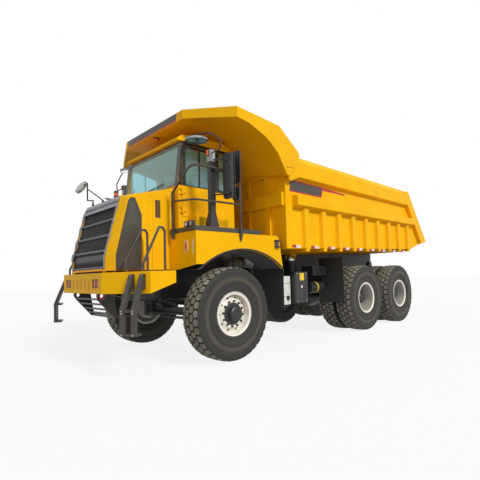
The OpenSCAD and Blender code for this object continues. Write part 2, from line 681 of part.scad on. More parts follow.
module splash_guards() color(dark) in_place() both_sides() {
  difference() {
    cross_pin(arch_x, arch_z, [1020, fender_half - fender_t - seat], arch_r - 1, 240);
    cross_pin(arch_x, arch_z, [1019, fender_half], arch_r - 25, 240);
    slab([-2000, 1500], [1000, 1600], [-1200, 1425]);
  }
  slab([-1215, -1110], [1020, 1500], [1425, 1440]);
  slab([-1215, -1200], [750, 1500], [680, 1440]);
  flap = 855 - wheelbase;
  slab([flap - 15, flap], [1000, 1640], [680, 1640]);
  slab([flap - 30, flap], [rail_y, 1600], [1240, 1290]);
}

// Cab as a hollow shell with a domed roof, window cut-outs, and door openings
function screen_x(z) = cab_front - (z - sill_z) * screen_lean / (cab_top - sill_z);
roof_t = 35;
cab_floor = 40;
hinge_heights = [2400, 2700];
pin_r = 10;
hinge_off = 22;
module cab_outline(t, y) side_prism([[-cab_rear + t, deck_z + (t > 0 ? cab_floor : 0)],
  [cab_front - t, deck_z + (t > 0 ? cab_floor : 0)], [cab_front - t, sill_z],
  [screen_x(cab_top) - t, cab_top - (t > 0 ? roof_t : 0)],
  [-cab_rear + t, cab_top - (t > 0 ? roof_t : 0)]], y);
deck_box_x = [-340, 430];
deck_box_y = 1200;
module cab_shell() color(yellow) in_place() {
  difference() {
    union() {
      cab_outline(0, [-cab_half, cab_half]);
      side_prism([[screen_x(cab_top) + 50, cab_top - 15], [screen_x(cab_top) + 60, cab_top + 20],
        [screen_x(cab_top) - 20, cab_top + 80], [screen_x(cab_top) - 200, cab_top + 120],
        [-380, cab_top + 120], [-cab_rear + 40, cab_top + 80], [-cab_rear - 20, cab_top - 15]],
        [-cab_half + 40, cab_half - 40]);
      both_sides() {
        for (z = hinge_heights) cab_hinge(z);
        slab(deck_box_x, [cab_half - 1, deck_box_y], [deck_z, door_low - 20]);
      }
    }
    cab_outline(cab_t, [-cab_half + cab_t, cab_half - cab_t]);
    slab([cab_front - 150, cab_front + 60], [-cab_half + 90, cab_half - 90], [window_low, window_high]);
    slab([-cab_rear - 1, -cab_rear + cab_t + 1], [-620, 620], [2860, 3400]);
    for (s = [0, 1]) mirror([0, s, 0]) {
      slab([door_x0, door_x1], [cab_half - cab_t - 1, cab_half + 1], [door_low, door_high]);
      slab([-cab_rear + 70, door_x0 - 70], [cab_half - cab_t - 1, cab_half + 1],
        [window_low, window_high - 20]);
    }
  }
}
module cab_hinge(z) {
  y = cab_half + hinge_off;
  for (dz = [-52, 32]) {
    translate([door_x1, y, z + dz]) cylinder(h = 20, r = 18);
    slab([door_x1, door_x1 + 50], [cab_half - 1, y], [z + dz, z + dz + 20]);
  }
  translate([door_x1, y, z - 52]) cylinder(h = 104, r = pin_r);
}
// A pane parallel to the raked windscreen
module screen_pane(d0, d1) side_prism([[screen_x(window_low) - d1, window_low + seat],
  [screen_x(window_low) - d0, window_low + seat], [screen_x(window_high) - d0, window_high - seat],
  [screen_x(window_high) - d1, window_high - seat]], [-cab_half + 90 + seat, cab_half - 90 - seat]);
module cab_glass() color(glass) in_place() {
  screen_pane(15, 25);
  slab([-cab_rear + 20, -cab_rear + 28], [-620 + seat, 620 - seat], [2860 + seat, 3400 - seat]);
  both_sides() slab([-cab_rear + 70 + seat, door_x0 - 70 - seat], [cab_half - 30, cab_half - 22],
    [window_low + seat, window_high - 20 - seat]);
}
module door() {
  difference() {
    slab([door_x0 + door_gap, door_x1 - door_gap], [cab_half - cab_t, cab_half],
      [door_low + door_gap, door_high - door_gap]);
    slab([door_x0 + 70, door_x1 - 75], [cab_half - cab_t - 1, cab_half + 1], [window_low, window_high - 60]);
  }
  for (z = hinge_heights) difference() {
    union() {
      translate([door_x1, cab_half + hinge_off, z - 31]) cylinder(h = 62, r = 18);
      slab([door_x1 - 60, door_x1], [cab_half - 1, cab_half + hinge_off], [z - 31, z + 31]);
    }
    translate([door_x1, cab_half + hinge_off, z - 32]) cylinder(h = 64, r = pin_r + run_fit);
    slab([door_x1 - door_gap, door_x1 + 20], [cab_half - 2, cab_half], [z - 32, z + 32]);
  }
  slab([door_x0 + 40, door_x0 + 160], [cab_half - 1, cab_half + 18], [sill_z - 110, sill_z - 75]);
}
module door_pane() slab([door_x0 + 70 + seat, door_x1 - 75 - seat], [cab_half - 30, cab_half - 22],
  [window_low + seat, window_high - 60 - seat]);
module door_left() color(yellow) in_place() door();
module door_right() color(yellow) in_place() mirror([0, 1, 0]) door();
module door_glass_left() color(glass) in_place() door_pane();
module door_glass_right() color(glass) in_place() mirror([0, 1, 0]) door_pane();
module cab_interior() color(dark) in_place() {
  low = deck_z + cab_floor;
  slab([-330, 120], [130, 610], [low, low + 300]);
  slab([-350, 140], [120, 620], [low + 300, low + 430]);
  side_prism([[-350, low + 430], [-240, low + 430], [-330, low + 1050], [-430, low + 1050]], [130, 610]);
  slab([340, 535], [-800, 800], [low, low + 640]);
  bar([350, 370, low + 560], [190, 370, low + 760], 25);
  translate([190, 370, low + 760]) rotate([0, -38.7, 0]) rotate_extrude() translate([190, 0]) circle(14);
  bar([190, 370, low + 740], [182, 370, low + 770], 60);
  translate([190, 370, low + 760]) rotate([0, -38.7, 0]) slab([-190, 190], [-12, 12], [-8, 8]);
}

// Mirror posts on the decks, with C-shaped arms and two mirror heads on each
mast_x = [296, 380];
mast_y = [1438, 1522];
mast_top = 3270;
mast_foot = 2310;
foot_x = [258, 418];
foot_y = [1400, 1548];
tube_r = 12;
// Flat mirror head with cut corners, standing across the truck
module mirror_head(x, y, z) {
  c = 30;
  cross_prism([[y[0], z[0] + c], [y[0] + c, z[0]], [y[1] - c, z[0]], [y[1], z[0] + c], [y[1], z[1] - c],
    [y[1] - c, z[1]], [y[0] + c, z[1]], [y[0], z[1] - c]], x);
}
module mirrors() color(grey) in_place() both_sides() {
  mid = (mast_y[0] + mast_y[1]) / 2;
  mast = (mast_x[0] + mast_x[1]) / 2;
  slab(mast_x, mast_y, [mast_foot - 1, mast_top]);
  intersection() {
    side_prism([[foot_x[0], deck_z], [foot_x[1], deck_z], [mast_x[1], mast_foot],
      [mast_x[0], mast_foot]], foot_y);
    cross_prism([[foot_y[0], deck_z], [foot_y[1], deck_z], [mast_y[1], mast_foot],
      [mast_y[0], mast_foot]], foot_x);
  }
  arm_x = 255;
  pipe([[mast, mid, 3120], [arm_x, 1712, 3090], [arm_x, 1825, 3040], [arm_x, 1866, 2945],
    [arm_x, 1852, 2605], [arm_x, 1795, 2552], [mast, mid, 2565]], tube_r);
  mirror_head([190, 232], [1632, 1833], [2490, 3185]);
  slab([231, arm_x], [1725, 1755], [3055, 3100]);
  slab([231, arm_x], [1775, 1800], [2535, 2570]);
  back_x = 72;
  mirror_head([back_x - 32, back_x - 10], [1650, 1834], [2740, 3250]);
  mirror_head([back_x - 32, back_x - 10], [1645, 1805], [2480, 2690]);
  bar([back_x, 1725, 2500], [back_x, 1725, 3200], tube_r);
  for (z = [2620, 2950]) pipe([[mast, mid, z], [150, 1550, z], [back_x, 1725, z]], tube_r);
  kerb_x = 380;
  pipe([[mast, mid, 3225], [kerb_x, 1728, 3200], [kerb_x, 1774, 3263], [kerb_x, 1777, 3349],
    [kerb_x, 1615, 3471], [kerb_x, 1455, 3546], [kerb_x, 1165, 3590], [kerb_x, 1165, 3510]], tube_r - 1);
  translate([kerb_x, 1165, door_high + 12]) rotate([0, 3, 0]) cylinder(h = 36, r = 180);
}

// Boxes and tanks hung beside the frame: left box, left tank, left air tank, right fuel tank
module side_tanks() color(dark) in_place() {
  slab([-1550, -1340], [700, 1350], [745, 1285]);
  slab([-1960, -1570], [600, 1450], [760, 1355]);
  slab([-1900, -1640], [rail_y, 601], [1100, 1200]);
  slab([-1571, -1549], [720, 1000], [1000, 1100]);
  rear = 920 - wheelbase;
  translate([rear + 20, 1100, 1015]) rotate([0, 90, 0]) cylinder(h = 460, r = 115);
  slab([rear, rear + 40], [rail_y, 1110], [1110, 1150]);
  slab([rear - 20, rear + 480], [960, 1240], [1270, 1470]);
  slab([rear, rear + 40], [1000, 1180], [1100, 1271]);
  slab([-2250, -1350], [-1450, -570], [760, 1360]);
  slab([-2150, -2050], [-571, -rail_y], [1100, 1250]);
  slab([-1550, -1450], [-571, -rail_y], [1100, 1250]);
}

// Hoists: a barrel and four nested stages each, leaning towards the front
stage_step = 15;
stage_fit = 0.5;
function stage_r(i) = barrel_r - stage_step * i;
module hoist_axis() in_place() both_sides() translate([-hoist_x, hoist_y, hoist_z])
  rotate([0, hoist_turn, 0]) children();
module stage_tube(i, low, high) difference() {
  translate([0, 0, low]) cylinder(h = high - low, r = stage_r(i));
  translate([0, 0, low + (i == 0 ? 25 : -1)]) cylinder(h = high, r = stage_r(i + 1) + stage_fit);
}
module cylinder_eye(r, bore, w) difference() {
  translate([0, w / 2, 0]) rotate([90, 0, 0]) cylinder(h = w, r = r);
  translate([0, w, 0]) rotate([90, 0, 0]) cylinder(h = 2 * w, r = bore);
}
module hoist_barrels() color(grey) hoist_axis() {
  difference() {
    union() {
      stage_tube(0, 55, hoist_l - 85);
      translate([0, 60, 0]) rotate([90, 0, 0]) cylinder(h = 120, r = 70);
    }
    translate([0, 100, 0]) rotate([90, 0, 0]) cylinder(h = 200, r = 35 + run_fit);
  }
}
module hoist_stage1() color(silver) hoist_axis() stage_tube(1, 85, hoist_l - 79);
module hoist_stage2() color(silver) hoist_axis() stage_tube(2, 88, hoist_l - 73);
module hoist_stage3() color(silver) hoist_axis() stage_tube(3, 91, hoist_l - 67);
module hoist_stage4() color(silver) hoist_axis() {
  translate([0, 0, 94]) cylinder(h = hoist_l - 94, r = stage_r(4));
  translate([0, 45, hoist_l]) rotate([90, 0, 0]) cylinder(h = 90, r = 52);
  translate([0, 60, hoist_l]) rotate([90, 0, 0]) cylinder(h = 120, r = 34);
}

// Load body: floor, sides with ribs and rails, front wall, canopy and subframe
tail_x = -body_tail;
function under_line(x0, x1, up) = [[x0, floor_z(x0) + up], [x1, floor_z(x1) + up]];
module body_floor() color(yellow) in_place() {
  places = [-body_front - plate_t, kick_x, tail_x + 40];
  side_prism(concat([for (x = places) [x, floor_z(x)]],
    [for (i = [2 : -1 : 0]) [places[i], floor_z(places[i]) + plate_t]]), [-load_half, load_half]);
}
post_top = kick_x + 200;
shoulder = [-1510, 3400];
side_line = [[-body_front, body_z], [-body_front, 3100], shoulder, [shoulder[0], body_top],
  [post_top, body_top], [tail_x, floor_z(tail_x)], [kick_x, floor_z(kick_x)]];
mid_rail_z = [2540, 2790];
top_rail_z = 3110;
mid_rail_d = 130;
top_rail_d = 96;
module rib(x) {
  z = floor_z(x - rib_w / 2);
  translate([0, 0, z]) linear_extrude(mid_rail_z[0] + 20 - z) polygon([[x - rib_w / 2, side_out - 1],
    [x - rib_w / 2 + 30, rib_out], [x + rib_w / 2 - 30, rib_out], [x + rib_w / 2, side_out - 1]]);
}
module body_side() {
  root = side_out - 1;
  middle = side_out + mid_rail_d;
  upper = side_out + top_rail_d;
  side_prism(side_line, [load_half, side_out]);
  cross_prism([[root, mid_rail_z[0]], [middle, mid_rail_z[0] + 40], [middle, mid_rail_z[1] - 40],
    [root, mid_rail_z[1]]], [kick_x - 90, -body_front - 190]);
  cross_prism([[root, top_rail_z - 25], [upper, top_rail_z], [upper, body_top - 110],
    [side_out + 30, body_top], [root, body_top]], [post_top, shoulder[0]]);
  side_prism([[-body_front, top_rail_z - 60], shoulder - [0, 10], [shoulder[0], top_rail_z],
    [-body_front - 60, top_rail_z - 110]], [root, upper]);
  side_prism([[post_top, body_top], [tail_x, floor_z(tail_x)], [tail_x + 320, floor_z(tail_x + 320) + 20],
    [post_top + 290, body_top - 60]], [root, upper]);
  for (i = [0 : rib_count - 1]) rib(rib_first - rib_pitch * i);
}
module body_side_left() color(yellow) in_place() body_side();
module body_side_right() color(yellow) in_place() mirror([0, 1, 0]) body_side();
wall_rail_z = [[2570, 2810], [3130, 3205]];
wall_top = body_top - 288;
module body_front_wall() color(yellow) in_place() {
  slab([-body_front - plate_t, -body_front], [-load_half, load_half], [body_z, wall_top]);
  for (z = wall_rail_z) slab([-body_front - 1, -body_front + 60], [-load_half, load_half], z);
  both_sides() for (y = [[660, 720], [1150, 1260]])
    slab([-body_front - 1, -body_front + 50], y, [body_z, wall_top]);
}
// Canopy with drooping wings, cut to its plan and seated on the front wall and the sides
ceiling = [[canopy_front, canopy_top - canopy_band], [-100, canopy_top - canopy_band - 33],
  [-490, canopy_top - 283], [-610, canopy_top - 340], [-850, wall_top + 313], [-970, wall_top + 160],
  [-1090, wall_top]];
canopy_line = concat(ceiling, [[-1240, wall_top - 32], [-1240, wall_top - 112], [-1530, body_top - 120],
  [-1530, body_top + 110], [-1490, body_top + 180], [-900, canopy_top + 10], [canopy_front, canopy_top]]);
// The wings sit slightly lower and further back than the flat middle, so that no edges of the two coincide
wing_line = [for (p = canopy_line) p - [4, p[1] > canopy_top - 3 ? 3 + p[1] - canopy_top : 2]];
module body_canopy() color(yellow) in_place() difference() {
  intersection() {
    union() {
      side_prism(canopy_line, [-canopy_flat, canopy_flat]);
      both_sides() translate([0, canopy_flat, canopy_top]) rotate([-canopy_droop, 0, 0])
        translate([0, -canopy_flat, -canopy_top]) side_prism(wing_line, [canopy_flat, 2000]);
    }
    plan_prism([[canopy_front + 20, canopy_flat - 83], [168, 1923], [-1540, 1722], [-1540, -1722],
      [168, -1923], [canopy_front + 20, 83 - canopy_flat]], [2900, 4100]);
  }
  slab([-1600, -body_front + 61], [-load_half, load_half], [2800, wall_top]);
  for (s = [0, 1]) mirror([0, s, 0]) side_prism([[-body_front + 1, 2800], [-body_front + 1, 3100], shoulder,
    [shoulder[0], body_top], [-1700, body_top], [-1700, 2800]], [load_half - 1, 2100]);
}
// Beams over the rails, hung on the tipping pins
beam_w = 80;
beam_y = rail_y - rail_flange / 2 - beam_w / 2;
cross_h = 60;
function beam_z(x) = floor_z(x) - cross_h - 2 * seat;
module body_subframe() color(yellow) in_place() both_sides() {
  low = rail_top + 10;
  difference() {
    union() {
      side_prism([[-body_front - 150, low], [-body_front - 150, beam_z(-body_front - 150)],
        [-hinge_x - 110, beam_z(-hinge_x - 110)], [-hinge_x - 110, hinge_z], [-hinge_x + 110, hinge_z - 60],
        [-hinge_x + 250, low]], [beam_y, beam_y + beam_w]);
      cross_pin(-hinge_x, hinge_z, [beam_y, beam_y + beam_w], 110);
    }
    cross_pin(-hinge_x, hinge_z, [beam_y - 1, beam_y + beam_w + 1], hinge_r + run_fit);
  }
}
// Cross members between the beams and the floor, and a plate with the lugs of the hoists
module under_slat(x0, x1, y, h = cross_h) side_prism([[x0, floor_z(x0) - h - seat],
  [x1, floor_z(x1) - h - seat], [x1, floor_z(x1) - seat], [x0, floor_z(x0) - seat]], y);
lug_plate = 30;
module body_cross_members() color(yellow) in_place() {
  for (i = [0 : rib_count - 1]) {
    x = rib_first - rib_pitch * i;
    under_slat(x - 50, x + 50, [-rib_out, rib_out]);
  }
  difference() {
    union() {
      under_slat(eye_x - 120, eye_x + 70, [-hoist_y - 110, hoist_y + 110], lug_plate);
      for (s = [-1, 1], d = [-96, 66]) side_prism([[eye_x - 110, floor_z(eye_x) - lug_plate + 8],
        [eye_x - 60, eye_z - 50], [eye_x + 60, eye_z - 50], [eye_x + 68, floor_z(eye_x) - lug_plate + 8]],
        [s * hoist_y + d, s * hoist_y + d + 30]);
    }
    cross_pin(eye_x, eye_z, [-hoist_y - 100, hoist_y + 100], 36);
  }
}

frame_rails();
cross_members();
engine_block();
rear_axles();
front_axle();
suspension();
tie_rod();
knuckle_left();
knuckle_right();
tyre_front_left();
tyre_front_right();
rim_front_left();
rim_front_right();
tyres_rear1_left();
tyres_rear1_right();
rims_rear1_left();
rims_rear1_right();
tyres_rear2_left();
tyres_rear2_right();
rims_rear2_left();
rims_rear2_right();
bumper();
lamps();
under_guard();
ladders();
handrails();
hood();
grille();
front_mirror();
deck_platform();
fenders();
splash_guards();
cab_shell();
cab_glass();
cab_interior();
door_left();
door_right();
door_glass_left();
door_glass_right();
mirrors();
side_tanks();
hoist_barrels();
hoist_stage1();
hoist_stage2();
hoist_stage3();
hoist_stage4();
body_floor();
body_side_left();
body_side_right();
body_front_wall();
body_canopy();
body_subframe();
body_cross_members();
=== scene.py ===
import json
from itertools import product
from math import atan2, cos, exp, pi, radians, sin, tau

import bmesh
import bpy
from mathutils import Matrix, Vector


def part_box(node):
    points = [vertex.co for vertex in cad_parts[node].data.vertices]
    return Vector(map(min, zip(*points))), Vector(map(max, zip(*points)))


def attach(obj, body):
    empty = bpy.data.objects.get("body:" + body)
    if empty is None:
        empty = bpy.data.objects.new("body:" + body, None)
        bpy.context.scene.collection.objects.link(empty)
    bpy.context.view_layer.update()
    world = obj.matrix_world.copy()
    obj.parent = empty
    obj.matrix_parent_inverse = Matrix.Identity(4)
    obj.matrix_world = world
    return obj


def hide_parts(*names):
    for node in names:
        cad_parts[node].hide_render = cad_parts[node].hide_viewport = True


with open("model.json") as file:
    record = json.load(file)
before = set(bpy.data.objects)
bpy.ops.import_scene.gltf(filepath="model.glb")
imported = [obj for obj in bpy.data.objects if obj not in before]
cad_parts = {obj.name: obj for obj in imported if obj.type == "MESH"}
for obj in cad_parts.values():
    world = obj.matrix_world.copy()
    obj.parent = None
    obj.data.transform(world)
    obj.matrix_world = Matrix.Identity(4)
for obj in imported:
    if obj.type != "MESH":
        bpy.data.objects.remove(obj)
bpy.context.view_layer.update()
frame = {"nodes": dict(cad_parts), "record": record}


def middle_of(node):
    low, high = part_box(node)
    return (low + high) / 2


# Places are in metres from the front axle, as in the part's source
AXLE_X = middle_of("tyre_front_left").x
TRUCK_MOVE = Matrix.Translation((AXLE_X, 0, 0))
QUARTER = pi / 2
# Turns a lathe's axis from Y to Z
Y_UP = Matrix.Rotation(QUARTER, 4, "X")


def at(x, y, z):
    return Vector((x + AXLE_X, y, z))


# Camera fitted to the photograph
CAMERA_PLACE = at(3.799, 6.066, 1.33)
CAMERA_LOOK = Vector((-0.72462, -0.68661, 0.05904))
CAMERA_ROLL = -0.03185
FOCAL_PIXELS = 373.42
CENTRE_PIXEL = (275.36, 251.79)
FRAME_PIXELS = 480
SENSOR_MM = 36
CLIP_END = 200


def new_object(name, data):
    thing = bpy.data.objects.new(name, data)
    bpy.context.scene.collection.objects.link(thing)
    return thing


def add_camera():
    data = bpy.data.cameras.new("photo_camera")
    camera = new_object("photo_camera", data)
    look = CAMERA_LOOK.normalized()
    right = look.cross(Vector((0, 0, 1))).normalized()
    up = right.cross(look)
    c, s = cos(CAMERA_ROLL), sin(CAMERA_ROLL)
    right, up = c * right + s * up, -s * right + c * up
    camera.matrix_world = Matrix.Translation(CAMERA_PLACE) @ Matrix((right, up, -look)).transposed().to_4x4()
    data.sensor_width = SENSOR_MM
    data.lens = FOCAL_PIXELS / FRAME_PIXELS * SENSOR_MM
    data.shift_x = 0.5 - CENTRE_PIXEL[0] / FRAME_PIXELS
    data.shift_y = CENTRE_PIXEL[1] / FRAME_PIXELS - 0.5
    data.clip_end = CLIP_END
    bpy.context.scene.camera = camera


# Materials: scales of their noises, and values that they share
PAINT_SCALE = 2.2
PEEL_SCALE = 140
TONE_SCALE = 9
GRAIN_SCALE = 300
WALL_GRAIN_SCALE = 260
BUMP_HEIGHT = 0.001
COAT_ROUGH = 0.18
GLASS_IOR = 1.45
# Rings of a radial finish: how far they waver, and lie further out than their stops
RING_WAVER = 0.03
RING_SHIFT = 0.015


def new_material(name):
    material = bpy.data.materials.new(name)
    material.use_nodes = True
    nodes = material.node_tree.nodes
    return material, nodes, nodes["Principled BSDF"]


def link(source, target):
    source.id_data.links.new(source, target)


def fill(node, **inputs):
    """Sets inputs by their names, with _ for a space."""
    for key, value in inputs.items():
        node.inputs[key.replace("_", " ")].default_value = value
    return node


def add_node(nodes, kind, operation=None, **inputs):
    node = nodes.new("ShaderNode" + kind)
    if operation:
        node.operation = operation
    return fill(node, **inputs)


def add_noise(nodes, scale, detail):
    place = add_node(nodes, "TexCoord")
    noise = add_node(nodes, "TexNoise", Scale=scale, Detail=detail)
    link(place.outputs["Object"], noise.inputs["Vector"])
    return noise.outputs["Fac"]


def add_ramp(nodes, value, stops):
    """Colours over a value, from stops of (place, colour)."""
    ramp = add_node(nodes, "ValToRGB")
    elements = ramp.color_ramp.elements
    while len(elements) < len(stops):
        elements.new(0.5)
    for element, (place, color) in zip(elements, stops):
        element.position = place
        element.color = (*color, 1)
    link(value, ramp.inputs["Fac"])
    return ramp.outputs["Color"]


def noise_ramp(nodes, scale, low, high, stops=(0.4, 0.6)):
    """A noise, and its run from one colour to another over its middle."""
    value = add_noise(nodes, scale, 6)
    return value, add_ramp(nodes, value, list(zip(stops, (low, high))))


def add_bump(nodes, shader, scale, strength):
    bump = add_node(nodes, "Bump", Strength=strength, Distance=BUMP_HEIGHT)
    link(add_noise(nodes, scale, 4), bump.inputs["Height"])
    link(bump.outputs["Normal"], shader.inputs["Normal"])


def painted(name, low, high, rough=(0.32, 0.45), coat=0.3, shine=0.4):
    """Paint whose colour and gloss vary slowly, under a thin clear coat."""
    material, nodes, shader = new_material(name)
    value, color = noise_ramp(nodes, PAINT_SCALE, low, high, (0.3, 0.7))
    link(color, shader.inputs["Base Color"])
    gloss = add_node(nodes, "MapRange", To_Min=rough[0], To_Max=rough[1])
    link(value, gloss.inputs["Value"])
    link(gloss.outputs["Result"], shader.inputs["Roughness"])
    fill(shader, Metallic=0, Coat_Weight=coat, Coat_Roughness=COAT_ROUGH, Specular_IOR_Level=shine)
    add_bump(nodes, shader, PEEL_SCALE, 0.05)
    return material


def plain(name, color, rough, metal=0, bump=0.1, spread=0.85):
    """A moulded or cast surface with a fine grain and a slight change of tone."""
    material, nodes, shader = new_material(name)
    low = tuple(c * spread for c in color)
    link(noise_ramp(nodes, TONE_SCALE, low, color)[1], shader.inputs["Base Color"])
    fill(shader, Roughness=rough, Metallic=metal)
    add_bump(nodes, shader, GRAIN_SCALE, bump)
    return material


def radial(name, stops, rough):
    """A finish whose colour goes with the distance from the object's own Y axis."""
    material, nodes, shader = new_material(name)
    place = add_node(nodes, "TexCoord")
    flat = add_node(nodes, "VectorMath", "MULTIPLY")
    flat.inputs[1].default_value = (1, 0, 1)
    length = add_node(nodes, "VectorMath", "LENGTH")
    shift = add_node(nodes, "Math", "MULTIPLY_ADD")
    shift.inputs[1].default_value = RING_WAVER
    link(place.outputs["Object"], flat.inputs[0])
    link(flat.outputs["Vector"], length.inputs[0])
    link(add_noise(nodes, 7, 5), shift.inputs[0])
    link(length.outputs["Value"], shift.inputs[2])
    rings = [(radius + RING_SHIFT, color) for radius, color in stops]
    link(add_ramp(nodes, shift.outputs["Value"], rings), shader.inputs["Base Color"])
    fill(shader, Roughness=rough)
    add_bump(nodes, shader, WALL_GRAIN_SCALE, 0.2)
    return material


def window(name, tint, rough=0.02, weight=0.85):
    """Tinted glass or a lens, a little rougher in places."""
    material, nodes, shader = new_material(name)
    fill(shader, Base_Color=(*tint, 1), Roughness=rough, Transmission_Weight=weight, IOR=GLASS_IOR)
    _, shade = noise_ramp(nodes, 3, (rough,) * 3, (rough + 0.05,) * 3)
    link(shade, shader.inputs["Roughness"])
    return material


# Colours of the tyre's wall by distance from the axle
WALL_STOPS = (
    (0.33, (0.024, 0.023, 0.02)),
    (0.5, (0.018, 0.018, 0.016)),
    (0.535, (0.078, 0.066, 0.048)),
    (0.56, (0.056, 0.049, 0.038)),
    (0.59, (0.02, 0.02, 0.018)),
    (0.69, (0.016, 0.016, 0.014)),
)

YELLOW = painted("truck_yellow", (0.93, 0.475, 0.002), (0.98, 0.535, 0.003), (0.42, 0.55), 0, shine=0.12)
DARK_STEEL = painted("rail_grey", (0.042, 0.038, 0.033), (0.066, 0.059, 0.052), (0.4, 0.55), 0.1)
FRAME_BLACK = plain("frame_black", (0.022, 0.021, 0.02), 0.5)
RUBBER = plain("rubber", (0.025, 0.024, 0.023), 0.75)
TYRE = radial("tyre_wall", WALL_STOPS, 0.7)
TREAD = plain("tyre_tread", (0.3, 0.285, 0.24), 0.85, spread=0.62)
SILVER = painted("wheel_silver", (0.8, 0.77, 0.7), (0.88, 0.85, 0.78), (0.3, 0.42), 0.2)
PLASTIC = plain("black_plastic", (0.022, 0.022, 0.023), 0.45)
GRILLE = plain("grille_black", (0.028, 0.028, 0.03), 0.5)
CHROME = plain("rod_chrome", (0.75, 0.75, 0.76), 0.12, 1, 0)
CAST = plain("cast_grey", (0.14, 0.14, 0.14), 0.6)
ORANGE = painted("orange_lens", (0.7, 0.13, 0.008), (0.85, 0.19, 0.015), (0.2, 0.28), 0.15, shine=0.3)
GLASS = window("window_glass", (0.54, 0.89, 0.94))
HUB = plain("hub_black", (0.02, 0.02, 0.022), 0.38)
NUT = plain("nut_dark", (0.03, 0.03, 0.03), 0.4, 0.6)
FABRIC = plain("seat_fabric", (0.03, 0.03, 0.033), 0.9)
GLOSS_BLACK = painted("frame_gloss_black", (0.012, 0.012, 0.013), (0.02, 0.02, 0.021), (0.22, 0.3), 0.2)
# Dark yellow-brown as painted shade, for the hood's louvre slots and the canopy's wing bolts, which lie in
# shade; also the dark seam on the hood's flanks
SHADE_AND_SEAM_BROWN = plain("painted_shade_and_seam_brown", (0.16, 0.075, 0.02), 0.6)
# Painted highlight: pale strips on the grille bars' top edges stand for light caught there
BAR_HIGHLIGHT = plain("bar_edge_painted_highlight", (0.24, 0.26, 0.28), 0.4, 0.3)
BAND_GREY = painted("nose_grey", (0.19, 0.21, 0.235), (0.25, 0.27, 0.3), (0.35, 0.45), 0.1)
PANEL_GREY = plain("panel_grey", (0.062, 0.056, 0.048), 0.5)
PANEL_BROWN = plain("panel_brown", (0.052, 0.044, 0.034), 0.45)
WHITE = plain("white_paint", (0.78, 0.78, 0.76), 0.4, spread=0.92)
CLEAR = window("clear_lens", (0.92, 0.94, 0.95), 0.08, 0.35)
RED = window("red_lens", (0.55, 0.01, 0.01), 0.12, 0.3)
RED_PAINT = painted("hook_red", (0.5, 0.012, 0.01), (0.58, 0.02, 0.015))
RED_FILM = plain("band_red", (0.52, 0.02, 0.012), 0.42)
BAND_DARK = plain("band_dark", (0.055, 0.048, 0.042), 0.42)
MIRROR = plain("mirror_face", (0.72, 0.78, 0.84), 0.06, 1, 0, spread=0.95)
PALE_GREY = painted("pale_grey", (0.36, 0.38, 0.4), (0.44, 0.46, 0.48), (0.35, 0.45), 0.1)
ZINC = plain("zinc_bolt", (0.5, 0.48, 0.42), 0.4, 0.8)
LABEL_YELLOW = plain("label_yellow", (0.85, 0.62, 0.02), 0.5)
RIM_GREY = painted("rim_grey", (0.46, 0.445, 0.42), (0.54, 0.525, 0.495), (0.22, 0.34), 0.2)

SLOT_LOOKS = dict(
    body_yellow=YELLOW, frame_black=FRAME_BLACK, dark_grey=DARK_STEEL, rubber_black=RUBBER, tyre_rubber=TYRE,
    wheel_silver=SILVER, grille_black=GRILLE, black_plastic=PLASTIC, lamp_orange=ORANGE, window_glass=GLASS,
    seat_fabric=FABRIC, rod_chrome=CHROME, cast_grey=CAST)

# Nodes whose finish differs from the rest of their slot
NODE_LOOKS = {f"rims_rear{row}_{side}": RIM_GREY for row in (1, 2) for side in ("left", "right")}
# The load body's subframe is black as painted shade: it lies in deep shade under the body
NODE_LOOKS["body_subframe"] = FRAME_BLACK


def dress_nodes():
    """Every CAD node gets the finish of its slot, or its own."""
    slots = {row["node"]: row["material_slot"] for row in frame["record"]["subparts"]}
    for name, node in frame["nodes"].items():
        node.data.materials.clear()
        node.data.materials.append(NODE_LOOKS.get(name, SLOT_LOOKS[slots[name]]))


# Outlines: rings of points in a plane
def turns(count):
    return [tau * i / count for i in range(count)]


def circle(radius, count):
    return [(radius * cos(a), radius * sin(a)) for a in turns(count)]


def ellipse(a, b, half_a, half_b, count=32):
    return [(a + half_a * cos(t), b + half_b * sin(t)) for t in turns(count)]


def oblong(a, b):
    """A rectangle from its two spans."""
    return [(a[0], b[0]), (a[1], b[0]), (a[1], b[1]), (a[0], b[1])]


def strip(middle, half, b):
    return oblong((middle - half, middle + half), b)


def rounded(a, b, radius, steps=4):
    """A rectangle with round corners."""
    centres = ((a[1], b[1], -1, -1), (a[0], b[1], 1, -1), (a[0], b[0], 1, 1), (a[1], b[0], -1, 1))
    ring = []
    for quarter, (x, y, side_x, side_y) in enumerate(centres):
        for k in range(steps + 1):
            turn = QUARTER * (quarter + k / steps)
            ring.append((x + side_x * radius + radius * cos(turn),
                         y + side_y * radius + radius * sin(turn)))
    return ring


def shrunk(outline, share):
    mid_a = sum(a for a, _ in outline) / len(outline)
    mid_b = sum(b for _, b in outline) / len(outline)
    return [(mid_a + share * (a - mid_a), mid_b + share * (b - mid_b)) for a, b in outline]


def mirrored(outline, side):
    """An outline in (y, z), on side 1 or -1."""
    return [(side * y, z) for y, z in outline]


def within(span, inset):
    return (span[0] + inset, span[1] - inset)


def sided(span, side):
    """A span in y, on side 1 or -1."""
    return sorted((side * span[0], side * span[1]))


def turned(place, axis, angle=QUARTER):
    """The move that turns about an axis and then shifts to a place."""
    return Matrix.Translation(place) @ Matrix.Rotation(angle, 4, axis)


# Faces over rows of points
def grid_faces(rows, columns, closed_rows, closed_columns):
    faces = []
    for i in range(rows if closed_rows else rows - 1):
        here, after = i * columns, (i + 1) % rows * columns
        for k in range(columns if closed_columns else columns - 1):
            beside = (k + 1) % columns
            faces.append((here + k, here + beside, after + beside, after + k))
    return faces


def drawn_faces(n):
    """Two ends of n points each and the sides between them."""
    return [tuple(range(n))[::-1], tuple(range(n, 2 * n))] + grid_faces(2, n, False, True)


